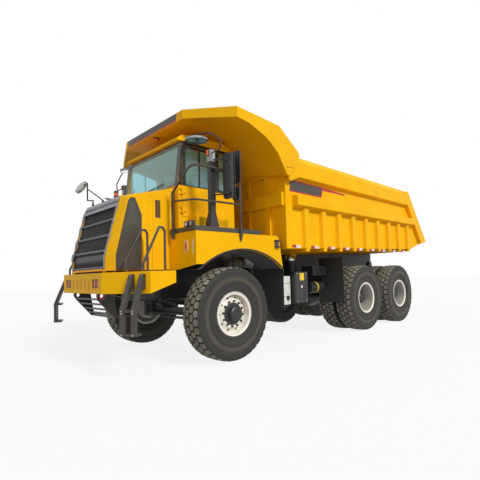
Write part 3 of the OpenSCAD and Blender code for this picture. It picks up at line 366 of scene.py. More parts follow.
class Shape:
    """Points and faces gathered into one object, with a material number per face."""

    def __init__(self):
        self.points, self.faces, self.looks = [], [], []

    def add(self, points, faces, look=0, move=None):
        start = len(self.points)
        self.points += [move @ Vector(p) for p in points] if move else [Vector(p) for p in points]
        self.faces += [tuple(start + i for i in face) for face in faces]
        self.looks += [look] * len(faces)

    def prism(self, outline, low, high, look, move):
        """An outline in X and Y drawn up from z low to z high."""
        points = [(x, y, low) for x, y in outline] + [(x, y, high) for x, y in outline]
        self.add(points, drawn_faces(len(outline)), look, move)

    def lathe(self, profile, steps, look, move):
        """A profile of (radius, y) turned about the Y axis."""
        points = [(r * cos(a), y, r * sin(a)) for a in turns(steps) for r, y in profile]
        self.add(points, grid_faces(steps, len(profile), True, False), look, move)

    def disc(self, radius, low, high, sides, look, move):
        """A round bar along Y, closed at both ends."""
        self.prism(circle(radius, sides), -high, -low, look, move @ Y_UP)

    def tube(self, path, radius, sides=10):
        path = [Vector(p) for p in path]
        rings = []
        for i, p in enumerate(path):
            ahead = (path[min(i + 1, len(path) - 1)] - path[max(i - 1, 0)]).normalized()
            side = ahead.cross(Vector((0, 0, 1)))
            side = side.normalized() if side.length > 0.01 else Vector((1, 0, 0))
            over = side.cross(ahead)
            rings += [p + radius * (cos(a) * side + sin(a) * over) for a in turns(sides)]
        last = (len(path) - 1) * sides
        ends = [tuple(range(sides))[::-1], tuple(range(last, last + sides))]
        self.add(rings, grid_faces(len(path), sides, False, True) + ends)

    def plate(self, outline, low, high, place, look=0):
        """A flat outline laid on a wall by place, between two depths."""
        points = [place(a, b, depth) for depth in (low, high) for a, b in outline]
        self.add(points, drawn_faces(len(outline)), look)

    def ring(self, outer, inner, low, high, place, look=0):
        """The strip between two outlines that have as many points."""
        n = len(outer)
        points = [place(a, b, depth) for depth in (low, high) for line in (outer, inner) for a, b in line]
        faces = []
        for i in range(n):
            j = (i + 1) % n
            faces += [(i, j, n + j, n + i), (2 * n + i, 3 * n + i, 3 * n + j, 2 * n + j)]
            faces += [(i, 2 * n + i, 2 * n + j, j), (n + i, n + j, 3 * n + j, 3 * n + i)]
        self.add(points, faces, look)

    def bezel(self, outer, inner, low, high, place, look=0):
        """The strip between two rectangles with round corners."""
        self.ring(rounded(*outer), rounded(*inner), low, high, place, look)

    def stud(self, point, out, radius, height, look):
        """A bolt head that stands out from a point."""
        move = Matrix.Translation(point) @ out.to_track_quat("Z", "Y").to_matrix().to_4x4()
        self.prism(circle(radius, 6), 0, height, look, move)

    def loop_tube(self, path, radius, sides):
        """A closed tube through a ring of points."""
        middle = sum(path, Vector()) / len(path)
        up = (path[0] - middle).cross(path[1] - middle).normalized()
        rings = []
        for p in path:
            out = (p - middle).normalized()
            rings += [p + radius * (cos(a) * out + sin(a) * up) for a in turns(sides)]
        self.add(rings, grid_faces(len(path), sides, True, True))

    def make(self, name, body, *looks, smooth=30, bevel=0, origin=(0, 0, 0)):
        """One object that rides on a body, with its origin where a radial finish needs it."""
        mesh = bpy.data.meshes.new(name)
        mesh.from_pydata([p - Vector(origin) for p in self.points], [], self.faces)
        for look in looks:
            mesh.materials.append(look)
        for face, look in zip(mesh.polygons, self.looks):
            face.material_index = look
        build = bmesh.new()
        build.from_mesh(mesh)
        bmesh.ops.recalc_face_normals(build, faces=build.faces)
        for edge in build.edges:
            edge.smooth = len(edge.link_faces) == 2 and edge.calc_face_angle() < radians(smooth)
        for face in build.faces:
            face.smooth = True
        build.to_mesh(mesh)
        build.free()
        piece = new_object(name, mesh)
        piece.location = origin
        if bevel:
            edges = piece.modifiers.new("edges", "BEVEL")
            edges.width = bevel
            edges.segments = 2
            edges.limit_method = "ANGLE"
            edges.angle_limit = radians(40)
            edges.harden_normals = True
        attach(piece, body)
        return piece


# Tyres: a turned carcass with four rows of tread blocks
TYRE_R = 0.73
GROOVE = 0.024
HALF_W = 0.2
BEAD_R = 0.318
PITCHES = 36
CARCASS_R = TYRE_R - GROOVE
CROWN_DROP = 0.006
CROWN_HALF = 0.15
# Half of the wall's section in (radius, y), from the bead outward
TYRE_WALL = [
    (BEAD_R + 0.02, 0.154), (BEAD_R + 0.026, 0.166), (BEAD_R + 0.036, 0.172), (0.385, 0.176), (0.392, 0.183),
    (0.402, 0.183), (0.41, 0.178), (0.47, 0.191), (0.478, 0.197), (0.487, 0.1975), (0.494, 0.193),
    (0.56, HALF_W - 0.004), (0.6, HALF_W - 0.003), (0.64, 0.194), (0.655, 0.196), (0.668, 0.194),
    (0.68, 0.188), (0.696, 0.183), (CARCASS_R - 0.002, 0.172),
]
# Outlines of the blocks of one pitch in (turn, y)
MIDDLE_BLOCK = [(-0.455, 0.02), (-0.05, -0.008), (0.455, 0.018), (0.455, 0.074), (0.05, 0.103),
                (-0.455, 0.076)]
SHOULDER_BLOCK = [(-0.455, 0.114), (-0.05, 0.086), (0.455, 0.112), (0.455, 0.162), (0.33, 0.187),
                  (-0.33, 0.187), (-0.455, 0.162)]
SHOULDER_Y = 0.16
SHOULDER_FALL = 0.35
# Rings of a block, from its foot up: share of its outline, and depth below the crown
BLOCK_RINGS = ((0.97, GROOVE + 0.004), (0.9, 0.003), (0.84, 0))


def crown(y):
    """Radius of the tread face at distance y from the middle of the tyre."""
    return TYRE_R - CROWN_DROP * (y / CROWN_HALF) ** 2


def tread_blocks():
    """The blocks of one pitch, in rows half a pitch apart."""
    blocks = []
    for side in (-1, 1):
        shift = 0 if side > 0 else 0.5
        for outline, move in ((MIDDLE_BLOCK, 0), (SHOULDER_BLOCK, 0.5)):
            blocks.append([(u + shift + move, side * y) for u, y in outline])
    return blocks


def block_points(outline, pitch, centre_y, flip):
    """The rings of points of one tread block, its top last."""
    mid_u = sum(u for u, _ in outline) / len(outline)
    mid_y = sum(y for _, y in outline) / len(outline)
    points = []
    for share, sink in BLOCK_RINGS:
        for u, y in outline:
            v = mid_y + (y - mid_y) * share
            turn = flip * (pitch + mid_u + (u - mid_u) * share) * (tau / PITCHES)
            edge = max(0, abs(y) - SHOULDER_Y) * SHOULDER_FALL
            r = crown(v) - sink - (edge if sink < GROOVE else 0)
            points.append((r * cos(turn), centre_y + v, r * sin(turn)))
    return points


def tyre_shape(shape, centre_y, flip):
    half = TYRE_WALL + [(CARCASS_R, y) for y in (0.14, 0.07, 0)]
    profile = half + [(r, -y) for r, y in half[-2::-1]]
    shape.lathe(profile, 96, 0, Matrix.Translation((0, centre_y, 0)))
    for pitch in range(PITCHES):
        for outline in tread_blocks():
            ring = len(outline)
            points = block_points(outline, pitch, centre_y, flip)
            sides = grid_faces(3, ring, False, True)
            shape.add(points, sides[:ring], 0)
            shape.add(points, sides[ring:] + [tuple(range(2 * ring, 3 * ring))], 1)


def add_tyres():
    """Tyres with tread, in place of the plain ones. A wide node holds twin tyres."""
    for name in [n for n in frame["nodes"] if n.startswith("tyre")]:
        low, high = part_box(name)
        shape = Shape()
        middle = (low + high) / 2
        centres = [middle.y] if high.y - low.y < 0.6 else [low.y + HALF_W, high.y - HALF_W]
        for y in centres:
            tyre_shape(shape, y, 1 if middle.y > 0 else -1)
        shape.points = [p + Vector((middle.x, 0, middle.z)) for p in shape.points]
        body = name.replace("tyre", "wheel")
        tyre = shape.make("tread_" + name, body, TYRE, TREAD, smooth=24, origin=middle)
        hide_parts(name)


# Hubs: profiles in (radius, y) from the tyre's middle, outward
TWIN_HALF = 0.235
FRONT_HUB = [(0.172, 0.1195), (0.172, 0.132), (0.158, 0.146), (0.124, 0.152), (0.118, 0.164), (0.118, 0.214),
             (0.104, 0.226), (0.084, 0.23), (0.08, 0.2365), (0, 0.2365)]
REAR_HUB = [(0.154, 0.024), (0.154, 0.064), (0.134, 0.084), (0.134, 0.25), (0.122, 0.268), (0.096, 0.291),
            (0.088, 0.294), (0, 0.294)]
RIM_LIP = [(0.299, 0.15), (0.304, 0.158), (0.318, 0.1625), (0.33, 0.168), (0.338, 0.1755), (0.344, 0.1745),
           (0.346, 0.166), (0.342, 0.156)]
# Number of nuts, radius of their circle and place of their seat
FRONT_NUTS = (12, 0.198, 0.118)
REAR_NUTS = (10, 0.182, 0.024)
NUT_TURN = 0.13
NUT_R = 0.016
NUT_HEIGHT = 0.026
STUD_R = 0.009
STUD_END = 0.04
HAND_HOLE_R = 0.0192
HAND_HOLE_CIRCLE = 0.252


def add_hubs():
    """Dark covers and nuts on every rim, and its pressed lip; dark discs in the front rims' hand holes are
    painted shade.
    """
    for name in [n for n in frame["nodes"] if n.startswith("rim")]:
        body = name.replace("rim", "wheel")
        middle = middle_of(name.replace("rim", "tyre"))
        front = "front" in name
        side = 1 if middle.y > 0 else -1
        place = Matrix.Translation(middle) @ Matrix.Scale(side, 4, (0, 1, 0))
        shape = Shape()
        shape.lathe(FRONT_HUB if front else REAR_HUB, 48, 0, place)
        count, ring, base = FRONT_NUTS if front else REAR_NUTS
        for a in turns(count):
            x, z = ring * cos(a + NUT_TURN), ring * sin(a + NUT_TURN)
            spot = place @ Matrix.Translation((x, base, z))
            shape.prism(circle(NUT_R, 6), -NUT_HEIGHT, 0, 1, spot @ Y_UP)
            shape.disc(STUD_R, NUT_HEIGHT, STUD_END, 10, 1, spot)
        face = 0 if front else TWIN_HALF
        shape.lathe([(r, y + face) for r, y in RIM_LIP], 72, 2, place)
        # Dark discs behind the hand holes are painted shade: they stand for the shaded inside of the wheel
        if front:
            for x, z in circle(HAND_HOLE_CIRCLE, 10):
                shape.disc(HAND_HOLE_R, 0.078, 0.086, 16, 0, place @ Matrix.Translation((x, 0, z)))
        hub = shape.make("hub_" + name, body, HUB, NUT, SILVER, smooth=35, origin=middle)


# Walls of the truck. Each turns (a, b, depth outward from its skin) into a point
def on_side(side, skin):
    return lambda a, b, depth: at(a, side * (skin + depth), b)


def on_end(skin, way=1):
    return lambda a, b, depth: at(skin + way * depth, a, b)


def on_screen(a, b, depth):
    """The windscreen, which leans back from its foot."""
    return at(0.59 - (b - 2.79) * 0.085 / 0.77 + depth, a, b)


def on_nose(a, b, depth):
    """The nose of the hood: upright at its foot and raked above."""
    return at(1.62 - max(0, b - 1.665) * 0.218 / 0.855 + depth, a, b)


def across(a, b, depth):
    """An outline in X and Z drawn along Y."""
    return at(a, depth, b)


# Skins that trim lies on, from the front axle or the middle plane
CAB_HALF = 0.94
CAB_REAR = -0.56
HOOD_HALF = 0.85
BUMPER_FRONT = 1.713
FENDER_FRONT = 0.69
FENDER_HALF = 1.55
BODY_HALF = 1.62
CANOPY_FRONT = 0.521

# Panes: an outer and an inner outline each, as spans and a corner radius
SKIN = (0.0005, 0.004)
SILL = 2.797
HEADER = 3.47
SCREEN_FRAME = (((-0.938, 0.938), (SILL, 3.532), 0.02), ((-0.848, 0.848), (2.813, 3.476), 0.06))
REAR_FRAME = (((-0.66, 0.66), (2.82, 3.44), 0.05), ((-0.618, 0.618), (2.862, 3.398), 0.05))
QUARTER_FRAME = (((-0.558, -0.154), (SILL, HEADER), 0.015), ((-0.489, -0.227), (2.812, 3.458), 0.04))
DOOR_FRAME = (((-0.147, 0.5115), (SILL, HEADER), 0.02), ((-0.085, 0.444), (2.812, 3.418), 0.05))


def add_cab_trim():
    """Black surrounds of the panes, the strip under the roof and the wiper."""
    shape = Shape()
    shape.bezel(*SCREEN_FRAME, *SKIN, on_screen)
    shape.bezel(*REAR_FRAME, *SKIN, on_end(CAB_REAR, -1))
    for side in (-1, 1):
        wall = on_side(side, CAB_HALF)
        shape.bezel(*QUARTER_FRAME, *SKIN, wall)
        shape.plate([(0.5165, SILL), (0.586, SILL), (0.5165, HEADER)], *SKIN, wall)
        shape.plate([(-0.558, 3.476), (0.5135, 3.476), (0.508, 3.532), (-0.558, 3.532)], *SKIN, wall)
    arm = ((-0.05, 2.8, 0.014), (0.12, 2.838, 0.016), (0.3, 2.868, 0.014))
    blade = ((-0.28, 2.83, 0.01), (0.5, 2.886, 0.01))
    shape.tube([on_screen(*p) for p in arm], 0.007)
    shape.tube([on_screen(*p) for p in blade], 0.009)
    shape.make("cab_trim", "chassis", GLOSS_BLACK, bevel=0.001)


def add_door_trim():
    """The surround of each door's pane, its middle bar and the handle."""
    for side, name in ((1, "left"), (-1, "right")):
        wall = on_side(side, CAB_HALF)
        shape = Shape()
        shape.bezel(*DOOR_FRAME, *SKIN, wall)
        shape.plate(oblong((0.155, 0.178), (2.812, 3.418)), -0.021, -0.006, wall)
        shape.plate(rounded((-0.12, 0.003), (2.677, 2.718), 0.018), 0.0005, 0.0195, wall)
        shape.make("door_trim_" + name, "door_" + name, GLOSS_BLACK, bevel=0.001)


# Pressed ribs on the hood's flanks: an outer and an inner outline each
HOOD_RIBS = (
    (((0.974, 1.06), (2.043, 2.606), 0.043, 8), ((0.984, 1.05), (2.053, 2.596), 0.033, 8)),
    (((0.68, 0.744), (2.395, 2.625), 0.032, 8), ((0.689, 0.735), (2.404, 2.616), 0.023, 8)),
)
LOUVRE_FOOT = 2.256
LOUVRE_STEP = 0.019
LOUVRE_HEIGHT = 0.01


def add_hood_trim():
    """Louvres, pressed ribs and seams on the flanks, and a beacon. The louvres are dark brown as painted
    shade in their slots.
    """
    ribs, dark = Shape(), Shape()
    for side in (-1, 1):
        wall = on_side(side, HOOD_HALF)
        # The louvre panel and its slats are dark brown: painted shade in the recessed slots
        dark.plate(rounded((0.852, 0.939), (2.248, 2.524), 0.01), 0.0005, 0.003, wall)
        for k in range(14):
            low = LOUVRE_FOOT + LOUVRE_STEP * k
            dark.plate(oblong((0.858, 0.933), (low, low + LOUVRE_HEIGHT)), 0.003, 0.009, wall)
        for outer, inner in HOOD_RIBS:
            ribs.bezel(outer, inner, 0.0005, 0.007, wall)
        dark.plate(oblong((0.988, 0.992), (1.463, 1.879)), 0.0004, 0.0012, wall)
    ribs.make("hood_ribs", "hood", YELLOW, bevel=0.002)
    dark.make("hood_louvres", "hood", SHADE_AND_SEAM_BROWN)
    beacon = Shape()
    up = Matrix.Translation(at(1.1, -0.15, 2.63)) @ Y_UP
    foot = [(0, 0), (0.052, 0), (0.05, 0.018), (0.04, 0.022), (0.04, 0.1), (0, 0.1)]
    beacon.lathe(foot, 24, 0, up)
    beacon.lathe([(0.038, 0.098), (0.038, 0.138)], 24, 1, up)
    beacon.lathe([(0, 0.138), (0.039, 0.138), (0.038, 0.17), (0.03, 0.186), (0, 0.192)], 24, 0, up)
    beacon.make("hood_beacon", "hood", PLASTIC, ORANGE)


# Grille: heights of the bars, and the outlines of what lies round it
BAR_FEET = (1.48, 1.725, 1.955, 2.19)
BAR_TOP = 0.03
BAR_HALF = 0.636
BAND_FOOT = 2.405
FIN_COUNT = 61
FIN_SPAN = 1.24
FIN_HALF = 0.002
CLIP_STEPS = ((0.642, -0.1), (0.662, -0.09), (0.662, -0.045), (0.678, -0.035), (0.678, 0.03), (0.642, 0.04))
NOSE_EDGE = [(0.612, 1.484), (0.648, 1.484), (0.648, 1.665), (0.648, 2.398), (0.612, 2.398), (0.612, 1.665)]
SIDE_PANEL = [(1.549, 1.456), (1.549, 1.665), (1.362, 2.465), (1.328, 2.512), (1.262, 2.515), (1.211, 2.397),
              (1.161, 2.266), (1.17, 1.456)]
PANEL_INSET = [(1.395, 2.1), (1.325, 2.44), (1.275, 2.44), (1.215, 2.24), (1.215, 2.1)]
HOOD_CAP = [(1.4015, 2.5165), (1.4105, 2.5165), (1.387, 2.564), (1.37, 2.569), (1.369, 2.566),
            (1.379, 2.5605)]


def add_grille_trim():
    """Pale edges on the bars, fins behind them, stepped clips and the side panels."""
    shape = Shape()
    for foot, above in zip(BAR_FEET, BAR_FEET[1:] + (BAND_FOOT,)):
        top = foot + BAR_TOP
        shape.plate(oblong((-BAR_HALF, BAR_HALF), (top - 0.004, top + 0.003)), -0.0055, -0.0025, on_nose, 0)
        for k in range(FIN_COUNT):
            y = -FIN_SPAN / 2 + FIN_SPAN * k / (FIN_COUNT - 1)
            shape.plate(strip(y, FIN_HALF, (top, above)), -0.0225, -0.014, on_nose, 1)
        steps = [(y, above + rise) for y, rise in CLIP_STEPS]
        for side in (-1, 1):
            shape.plate(mirrored(steps, side), 0.0005, 0.016, on_nose, 2)
    for side in (-1, 1):
        shape.plate(mirrored(NOSE_EDGE, side), 0.0005, 0.005, on_nose, 2)
        flank = on_side(side, HOOD_HALF)
        shape.ring(SIDE_PANEL, shrunk(SIDE_PANEL, 0.975), 0.0085, 0.0105, flank, 1)
        shape.plate(shrunk(SIDE_PANEL, 0.974), 0.0085, 0.0095, flank, 4)
        shape.plate(PANEL_INSET, 0.0097, 0.0108, flank, 3)
    shape.plate(oblong((-0.637, 0.637), (2.406, 2.4965)), 0.0062, 0.0085, on_nose, 2)
    shape.plate(oblong((-0.653, 0.653), (2.461, 2.5175)), 0.0062, 0.0085, on_nose, 2)
    shape.plate(HOOD_CAP, -0.653, 0.653, across, 2)
    shape.make("grille_trim", "hood", BAR_HIGHLIGHT, GRILLE, BAND_GREY, PANEL_GREY, PANEL_BROWN)


# Lamps: places, and spans in y and z
LAMP_Y = (0.432, 0.65)
LAMP_Z = (1.212, 1.332)
LAMP_CELL_Z = (1.226, 1.318)
MARKER = (1.311, 1.782)
REFLECTOR = ((1.458, 1.482), (1.662, 1.882))
WORK_LAMPS = ((1.215, 1.31), (1.35, 1.42))
WORK_LAMP_X = 0.67
WORK_LAMP_Z = (2.08, 2.165)
TAIL_LAMP_X = -6.32
TAIL_LAMP = ((0.385, 0.565), (1.18, 1.3))
TAIL_CELL_Z = (1.188, 1.292)
TAIL_CELL = 0.0537
TAIL_STEP = 0.0547


def add_front_lamp(shape, side):
    """The lamp in the bumper and the marker and reflector on the fender."""
    front = on_end(BUMPER_FRONT)
    ends = sided(LAMP_Y, side)
    shape.plate(oblong(ends, LAMP_Z), -0.0247, -0.018, front, 0)
    cell = (within(ends, 0.012), LAMP_CELL_Z, 0.01)
    shape.bezel((within(ends, 0.002), within(LAMP_Z, 0.002), 0.012), cell, -0.018, -0.008, front, 0)
    shape.plate(rounded(*cell), -0.018, -0.013, front, 1)
    middle_y = (ends[0] + ends[1]) / 2
    for y in (middle_y - 0.006, middle_y + 0.045):
        shape.plate(strip(y, 0.005, LAMP_CELL_Z), -0.013, -0.009, front, 0)
    face = on_end(FENDER_FRONT)
    y, z = side * MARKER[0], MARKER[1]
    lens = ellipse(y, z, 0.032, 0.076)
    shape.ring(ellipse(y, z, 0.042, 0.088), lens, 0.0003, 0.012, face, 2)
    shape.plate(lens, 0.0003, 0.011, face, 1)
    shape.plate(ellipse(y, z, 0.026, 0.068), 0.011, 0.016, face, 1)
    shape.plate(mirrored(oblong(*REFLECTOR), side), 0.0003, 0.002, face, 2)


def add_work_lamp(shape, ends):
    """A work lamp on its stem, with cooling fins behind."""
    front = on_end(WORK_LAMP_X)
    outer = (ends, WORK_LAMP_Z, 0.01)
    inner = (within(ends, 0.009), within(WORK_LAMP_Z, 0.009), 0.008)
    shape.plate(rounded(*outer), -0.06, -0.008, front, 0)
    shape.bezel(outer, inner, -0.008, 0, front, 0)
    shape.plate(rounded(*inner), -0.008, -0.003, front, 3)
    shape.plate(oblong(within(ends, 0.02), (2.07, 2.081)), -0.045, -0.015, front, 0)
    for k in range(4):
        fin = ends[0] + 0.012 + (ends[1] - ends[0] - 0.028) * k / 3
        shape.plate(oblong((fin, fin + 0.004), (2.088, 2.157)), -0.06, -0.052, front, 0)


def add_tail_lamp(shape, side):
    """A tail lamp with an orange, a red and a clear cell."""
    tail = on_end(TAIL_LAMP_X, -1)
    ends = sided(TAIL_LAMP[0], side)
    outer = (ends, TAIL_LAMP[1], 0.01)
    shape.plate(rounded(*outer), -0.04, -0.01, tail, 0)
    shape.bezel(outer, (within(ends, 0.008), TAIL_CELL_Z, 0.006), -0.01, 0, tail, 0)
    for k, look in enumerate((1, 4, 3)):
        low = ends[0] + 0.008 + TAIL_STEP * k
        shape.plate(oblong((low, low + TAIL_CELL), TAIL_CELL_Z), -0.01, -0.003, tail, look)


def add_lamps():
    """Lenses in their housings, at the places of the plain lamp solids."""
    shape = Shape()
    for side in (-1, 1):
        add_front_lamp(shape, side)
        for span in WORK_LAMPS:
            add_work_lamp(shape, sided(span, side))
        add_tail_lamp(shape, side)
    lamps = shape.make("lamp_set", "chassis", PLASTIC, ORANGE, WHITE, CLEAR, RED)
    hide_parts("lamps")


# Flat mirrors: x of the face, and its spans in y and z
FLAT_MIRRORS = ((0.19, (1.632, 1.833), (2.49, 3.185)), (0.04, (1.65, 1.834), (2.74, 3.25)),
                (0.04, (1.645, 1.805), (2.48, 2.69)))
MIRROR_EDGE = 0.008
# The pale head of a mirror post: spans of its outside, its bore and its height
POST_HEAD = ((0.293, 0.383), (1.435, 1.525))
POST_BORE = ((0.2955, 0.3805), (1.4375, 1.5225))
POST_HEAD_Z = (3.085, 3.268)
POST_FACE = 0.3805
# Round mirrors: profiles in (radius, y) of the face and of the shell behind it
KERB_PLACE = (0.38, 1.165, 3.486)
KERB_FACE = [(0, -0.0045), (0.06, -0.0042), (0.12, -0.003), (0.165, -0.0005), (0.165, 0.001)]
KERB_SHELL = [(0.181, 0.002), (0.1825, 0.006), (0.1825, 0.032), (0.176, 0.0375), (0.08, 0.04),
              (0, 0.0405)]
FRONT_PLACE = (1.29, -1.15, 3.018)
FRONT_FACE = [(0, -0.0045), (0.06, -0.0035), (0.118, -0.0005), (0.118, 0.001)]
FRONT_SHELL = [(0.1315, 0.002), (0.1315, 0.034), (0.12, 0.0415), (0.06, 0.046), (0, 0.047)]


def add_mirror_glass():
    """Mirror faces, the pale head of each post and its marker lamp."""
    shape = Shape()
    for side in (-1, 1):
        for x, y, z in FLAT_MIRRORS:
            face = rounded(sided(within(y, MIRROR_EDGE), side), within(z, MIRROR_EDGE), 0.02)
            shape.plate(face, 0.0005, 0.003, on_end(x, -1), 0)
        sleeve, bore = [[(x, side * y) for x, y in oblong(*spans)] for spans in (POST_HEAD, POST_BORE)]
        shape.ring(sleeve, bore, *POST_HEAD_Z, at, 1)
        front = on_end(POST_FACE)
        shape.plate(mirrored(oblong((1.463, 1.497), (3.165, 3.262)), side), 0.003, 0.014, front, 2)
        shape.plate(rounded(sided((1.466, 1.494), side), (3.17, 3.257), 0.012), 0.014, 0.034, front, 3)
        x, y, z = KERB_PLACE
        stand = turned(at(x, side * y, z), "Y", radians(3)) @ Y_UP
        shape.lathe(KERB_FACE, 40, 0, stand)
        shape.lathe(KERB_SHELL, 40, 1, stand)
    shape.make("mirror_faces", "chassis", MIRROR, PALE_GREY, PLASTIC, ORANGE)
    shape = Shape()
    front = turned(at(*FRONT_PLACE), "Z", radians(10))
    front = front @ Matrix.Rotation(radians(60), 4, "Y") @ Y_UP
    shape.lathe(FRONT_FACE, 40, 0, front)
    shape.lathe(FRONT_SHELL, 40, 1, front)
    shape.make("front_mirror_face", "hood", MIRROR, PALE_GREY)


# Bands and reflectors on the load body, and the bolts of the canopy's wings
BAND_EDGE = [(-1.325, 2.835), (-2.3, 2.835), (-2.345, 2.985), (-3.15, 2.985), (-3.15, 3.02),
             (-2.36, 3.05), (-1.325, 3.066)]
BAND_FILL = [(-1.345, 2.858), (-2.28, 2.858), (-2.325, 3.03), (-1.345, 3.046)]
REFLECTOR_X = -1.46
REFLECTOR_STEP = 0.555
REFLECTOR_Z = (1.8, 1.852)
WING_EDGE = (-1.54, 1.7229)
WING_SLOPE = 0.11768
WING_BOLT_X = -1.1
WING_BOLT_STEP = 0.055


def add_decals():
    """Plain bands of colour, reflectors, and the lamp and bolts of the canopy. The bolts are dark brown as
    painted shade.
    """
    shape = Shape()
    brow = on_end(CANOPY_FRONT)
    dark = [(-0.92, 3.912), (0.8, 3.912), (0.83, 4.014), (-0.92, 4.014)]
    red = [(-0.92, 3.884), (0.792, 3.884), (0.8, 3.911), (-0.92, 3.911)]
    shape.plate(dark, 0.0004, 0.0016, brow, 0)
    shape.plate(red, 0.0004, 0.0016, brow, 1)
    for side in (-1, 1):
        wall = on_side(side, BODY_HALF)
        shape.plate(BAND_EDGE, 0.0004, 0.001, wall, 1)
        shape.plate(BAND_FILL, 0.0012, 0.002, wall, 0)
        for k in range(9):
            x = REFLECTOR_X - REFLECTOR_STEP * k
            for low, high, look in ((-0.125, 0, 2), (0.0005, 0.115, 1)):
                shape.plate(oblong((x + low, x + high), REFLECTOR_Z), 0.0004, 0.002, wall, look)
    shape.make("bands_and_reflectors", "dump_body", BAND_DARK, RED_FILM, WHITE)
    lamp = Shape()
    spot = turned(at(0.4, -0.05, 3.868), "X", -QUARTER)
    lamp.lathe([(0, 0), (0.055, 0), (0.055, 0.016), (0.045, 0.02)], 24, 0, spot)
    lamp.lathe([(0.045, 0.018), (0.045, 0.05), (0.036, 0.068), (0, 0.074)], 24, 1, spot)
    # The wing bolts are yellow heads in shade; their dark brown is painted shade
    for side in (-1, 1):
        for k in range(4):
            x = WING_BOLT_X - WING_BOLT_STEP * k
            y = side * (WING_EDGE[1] + WING_SLOPE * (x - WING_EDGE[0]))
            lamp.stud(at(x, y, 3.205 + 0.012 * k), Vector((0, side, 0)), 0.008, 0.008, 2)
    lamp.make("canopy_lamp", "dump_body", PLASTIC, ORANGE, SHADE_AND_SEAM_BROWN)


# The wheel arch: middle in (x, z), radius, and the angles of its ends
ARCH_X = -0.25
ARCH_Z = 0.312
ARCH_R = 1.421
ARCH_ENDS = (radians(129), radians(51))
ARCH_STEPS = 40
BRACKET = [(-1.07, 1.795), (-0.95, 1.795), (-0.95, 1.925), (-1.045, 1.925)]


def arch_line(radius, sweep):
    return [(ARCH_X + radius * cos(t), ARCH_Z + radius * sin(t)) for t in sweep]


def add_fender_trim():
    """The rubber lip of each wheel arch and the lamp bracket behind it."""
    shape = Shape()
    start, end = ARCH_ENDS
    sweep = [start + (end - start) * k / ARCH_STEPS for k in range(ARCH_STEPS + 1)]
    lip = arch_line(ARCH_R + 0.024, sweep) + arch_line(ARCH_R + 0.001, sweep[::-1])
    for side in (-1, 1):
        wall = on_side(side, FENDER_HALF)
        for k in range(ARCH_STEPS):
            shape.plate([lip[k], lip[k + 1], lip[-k - 2], lip[-k - 1]], 0.0003, 0.008, wall, 0)
        shape.plate(BRACKET, 0.0005, 0.006, wall, 1)
        for z in ((1.9, 1.925), (1.795, 1.815)):
            shape.plate(oblong((-1.06, -0.95), z), 0.006, 0.05, wall, 1)
        for x in (-1.03, -0.975):
            for z in (1.835, 1.88):
                shape.stud(wall(x, z, 0.006), Vector((0, side, 0)), 0.01, 0.007, 2)
    shape.make("fender_trim", "chassis", RUBBER, PLASTIC, ZINC)


# Ladders stand square to the bumper's chamfer. Their bolts are in the ladder's own frame
LADDER_FOOT = (1.47, 1.3476)
LADDER_TURN = radians(22.7)
LADDER_BOLTS = ((0.615, 0.2055), (0.915, 0.2055), (0.885, 0.2055), (1.28, 0.0345), (1.36, 0.0345))
TREAD_TOPS = (0.6305, 0.9305)
GRIP_R = 0.008


def add_ladder_bolts():
    """Bolts on the ladder rails and rows of grip studs on the treads."""
    shape = Shape()
    for side in (-1, 1):
        place = Matrix.Scale(side, 4, (0, 1, 0)) @ turned(at(*LADDER_FOOT, 0), "Z", LADDER_TURN)
        out = (place.to_3x3() @ Vector((1, 0, 0))).normalized()
        for y in (-0.09, 0.09):
            for z, x in LADDER_BOLTS:
                shape.stud(place @ Vector((x, y, z)), out, 0.012, 0.008, 0)
        for z in TREAD_TOPS:
            for i in range(2):
                for k in range(5):
                    spot = place @ Matrix.Translation((0.125 + 0.045 * i, -0.048 + 0.024 * k, z))
                    shape.prism(circle(GRIP_R, 10), 0, 0.004, 1, spot)
    shape.make("ladder_bolts", "chassis", ZINC, DARK_STEEL)


# Beside the engine: the sheets' skin, and the drum's profiles in (radius, y)
SHEET_Y = 0.5
DRUM_PLACE = (-0.88, 0.66, 1.548)
DRUM_BODY = [(0, -0.3), (0.076, -0.3), (0.085, -0.285), (0.085, 0.262), (0, 0.262)]
DRUM_CAP = [(0, 0.263), (0.096, 0.263), (0.096, 0.29), (0.082, 0.29), (0.07, 0.28), (0, 0.28)]
BAND_HALF = 0.015
SEAL_X = 1.55
SEALS = ((-0.585, 0.585), (-0.845, -0.625), (0.625, 0.845))
SLOT_PITCH = 0.158


def add_inner_panels():
    """Sheets and a filter drum beside the engine, the hood's seal and the bumper's slots. The sheets' black
    is painted shade.
    """
    shape = Shape()
    for side in (-1, 1):
        wall = on_side(side, SHEET_Y)
        # The black ribbed sheets close the view into the engine bay; their black is painted shade for the
        # shaded parts inside
        shape.plate(rounded((-0.98, 1.18), (1.345, 1.915), 0.04), 0, 0.006, wall, 0)
        for k in range(6):
            x = -0.85 + 0.36 * k
            shape.plate(rounded((x - 0.03, x + 0.03), (1.4, 1.86), 0.025), 0.006, 0.018, wall, 0)
        x, y, z = DRUM_PLACE
        drum = turned(at(x, side * y, z), "Z")
        shape.lathe(DRUM_BODY, 32, 1, drum)
        shape.lathe(DRUM_CAP, 32, 2, drum)
        foot = sided((0.503, 0.59), side)
        for step in (-0.05, 0.2):
            low, high = -step - BAND_HALF, -step + BAND_HALF
            shape.lathe([(0.0855, low), (0.089, low), (0.089, high), (0.0855, high)], 32, 0, drum)
            shape.prism(oblong((-0.9 + step, -0.86 + step), foot), 1.53, 1.57, 0, TRUCK_MOVE)
    for y in SEALS:
        shape.plate(oblong(y, (1.4215, 1.448)), -0.01, 0.01, on_end(SEAL_X), 0)
    for k in range(-2, 3):
        shape.plate(strip(SLOT_PITCH * k, 0.0115, (1.1955, 1.3385)), -0.012, -0.005, on_end(BUMPER_FRONT), 0)
    shape.make("engine_bay_panels", "chassis", RUBBER, CAST, PALE_GREY)


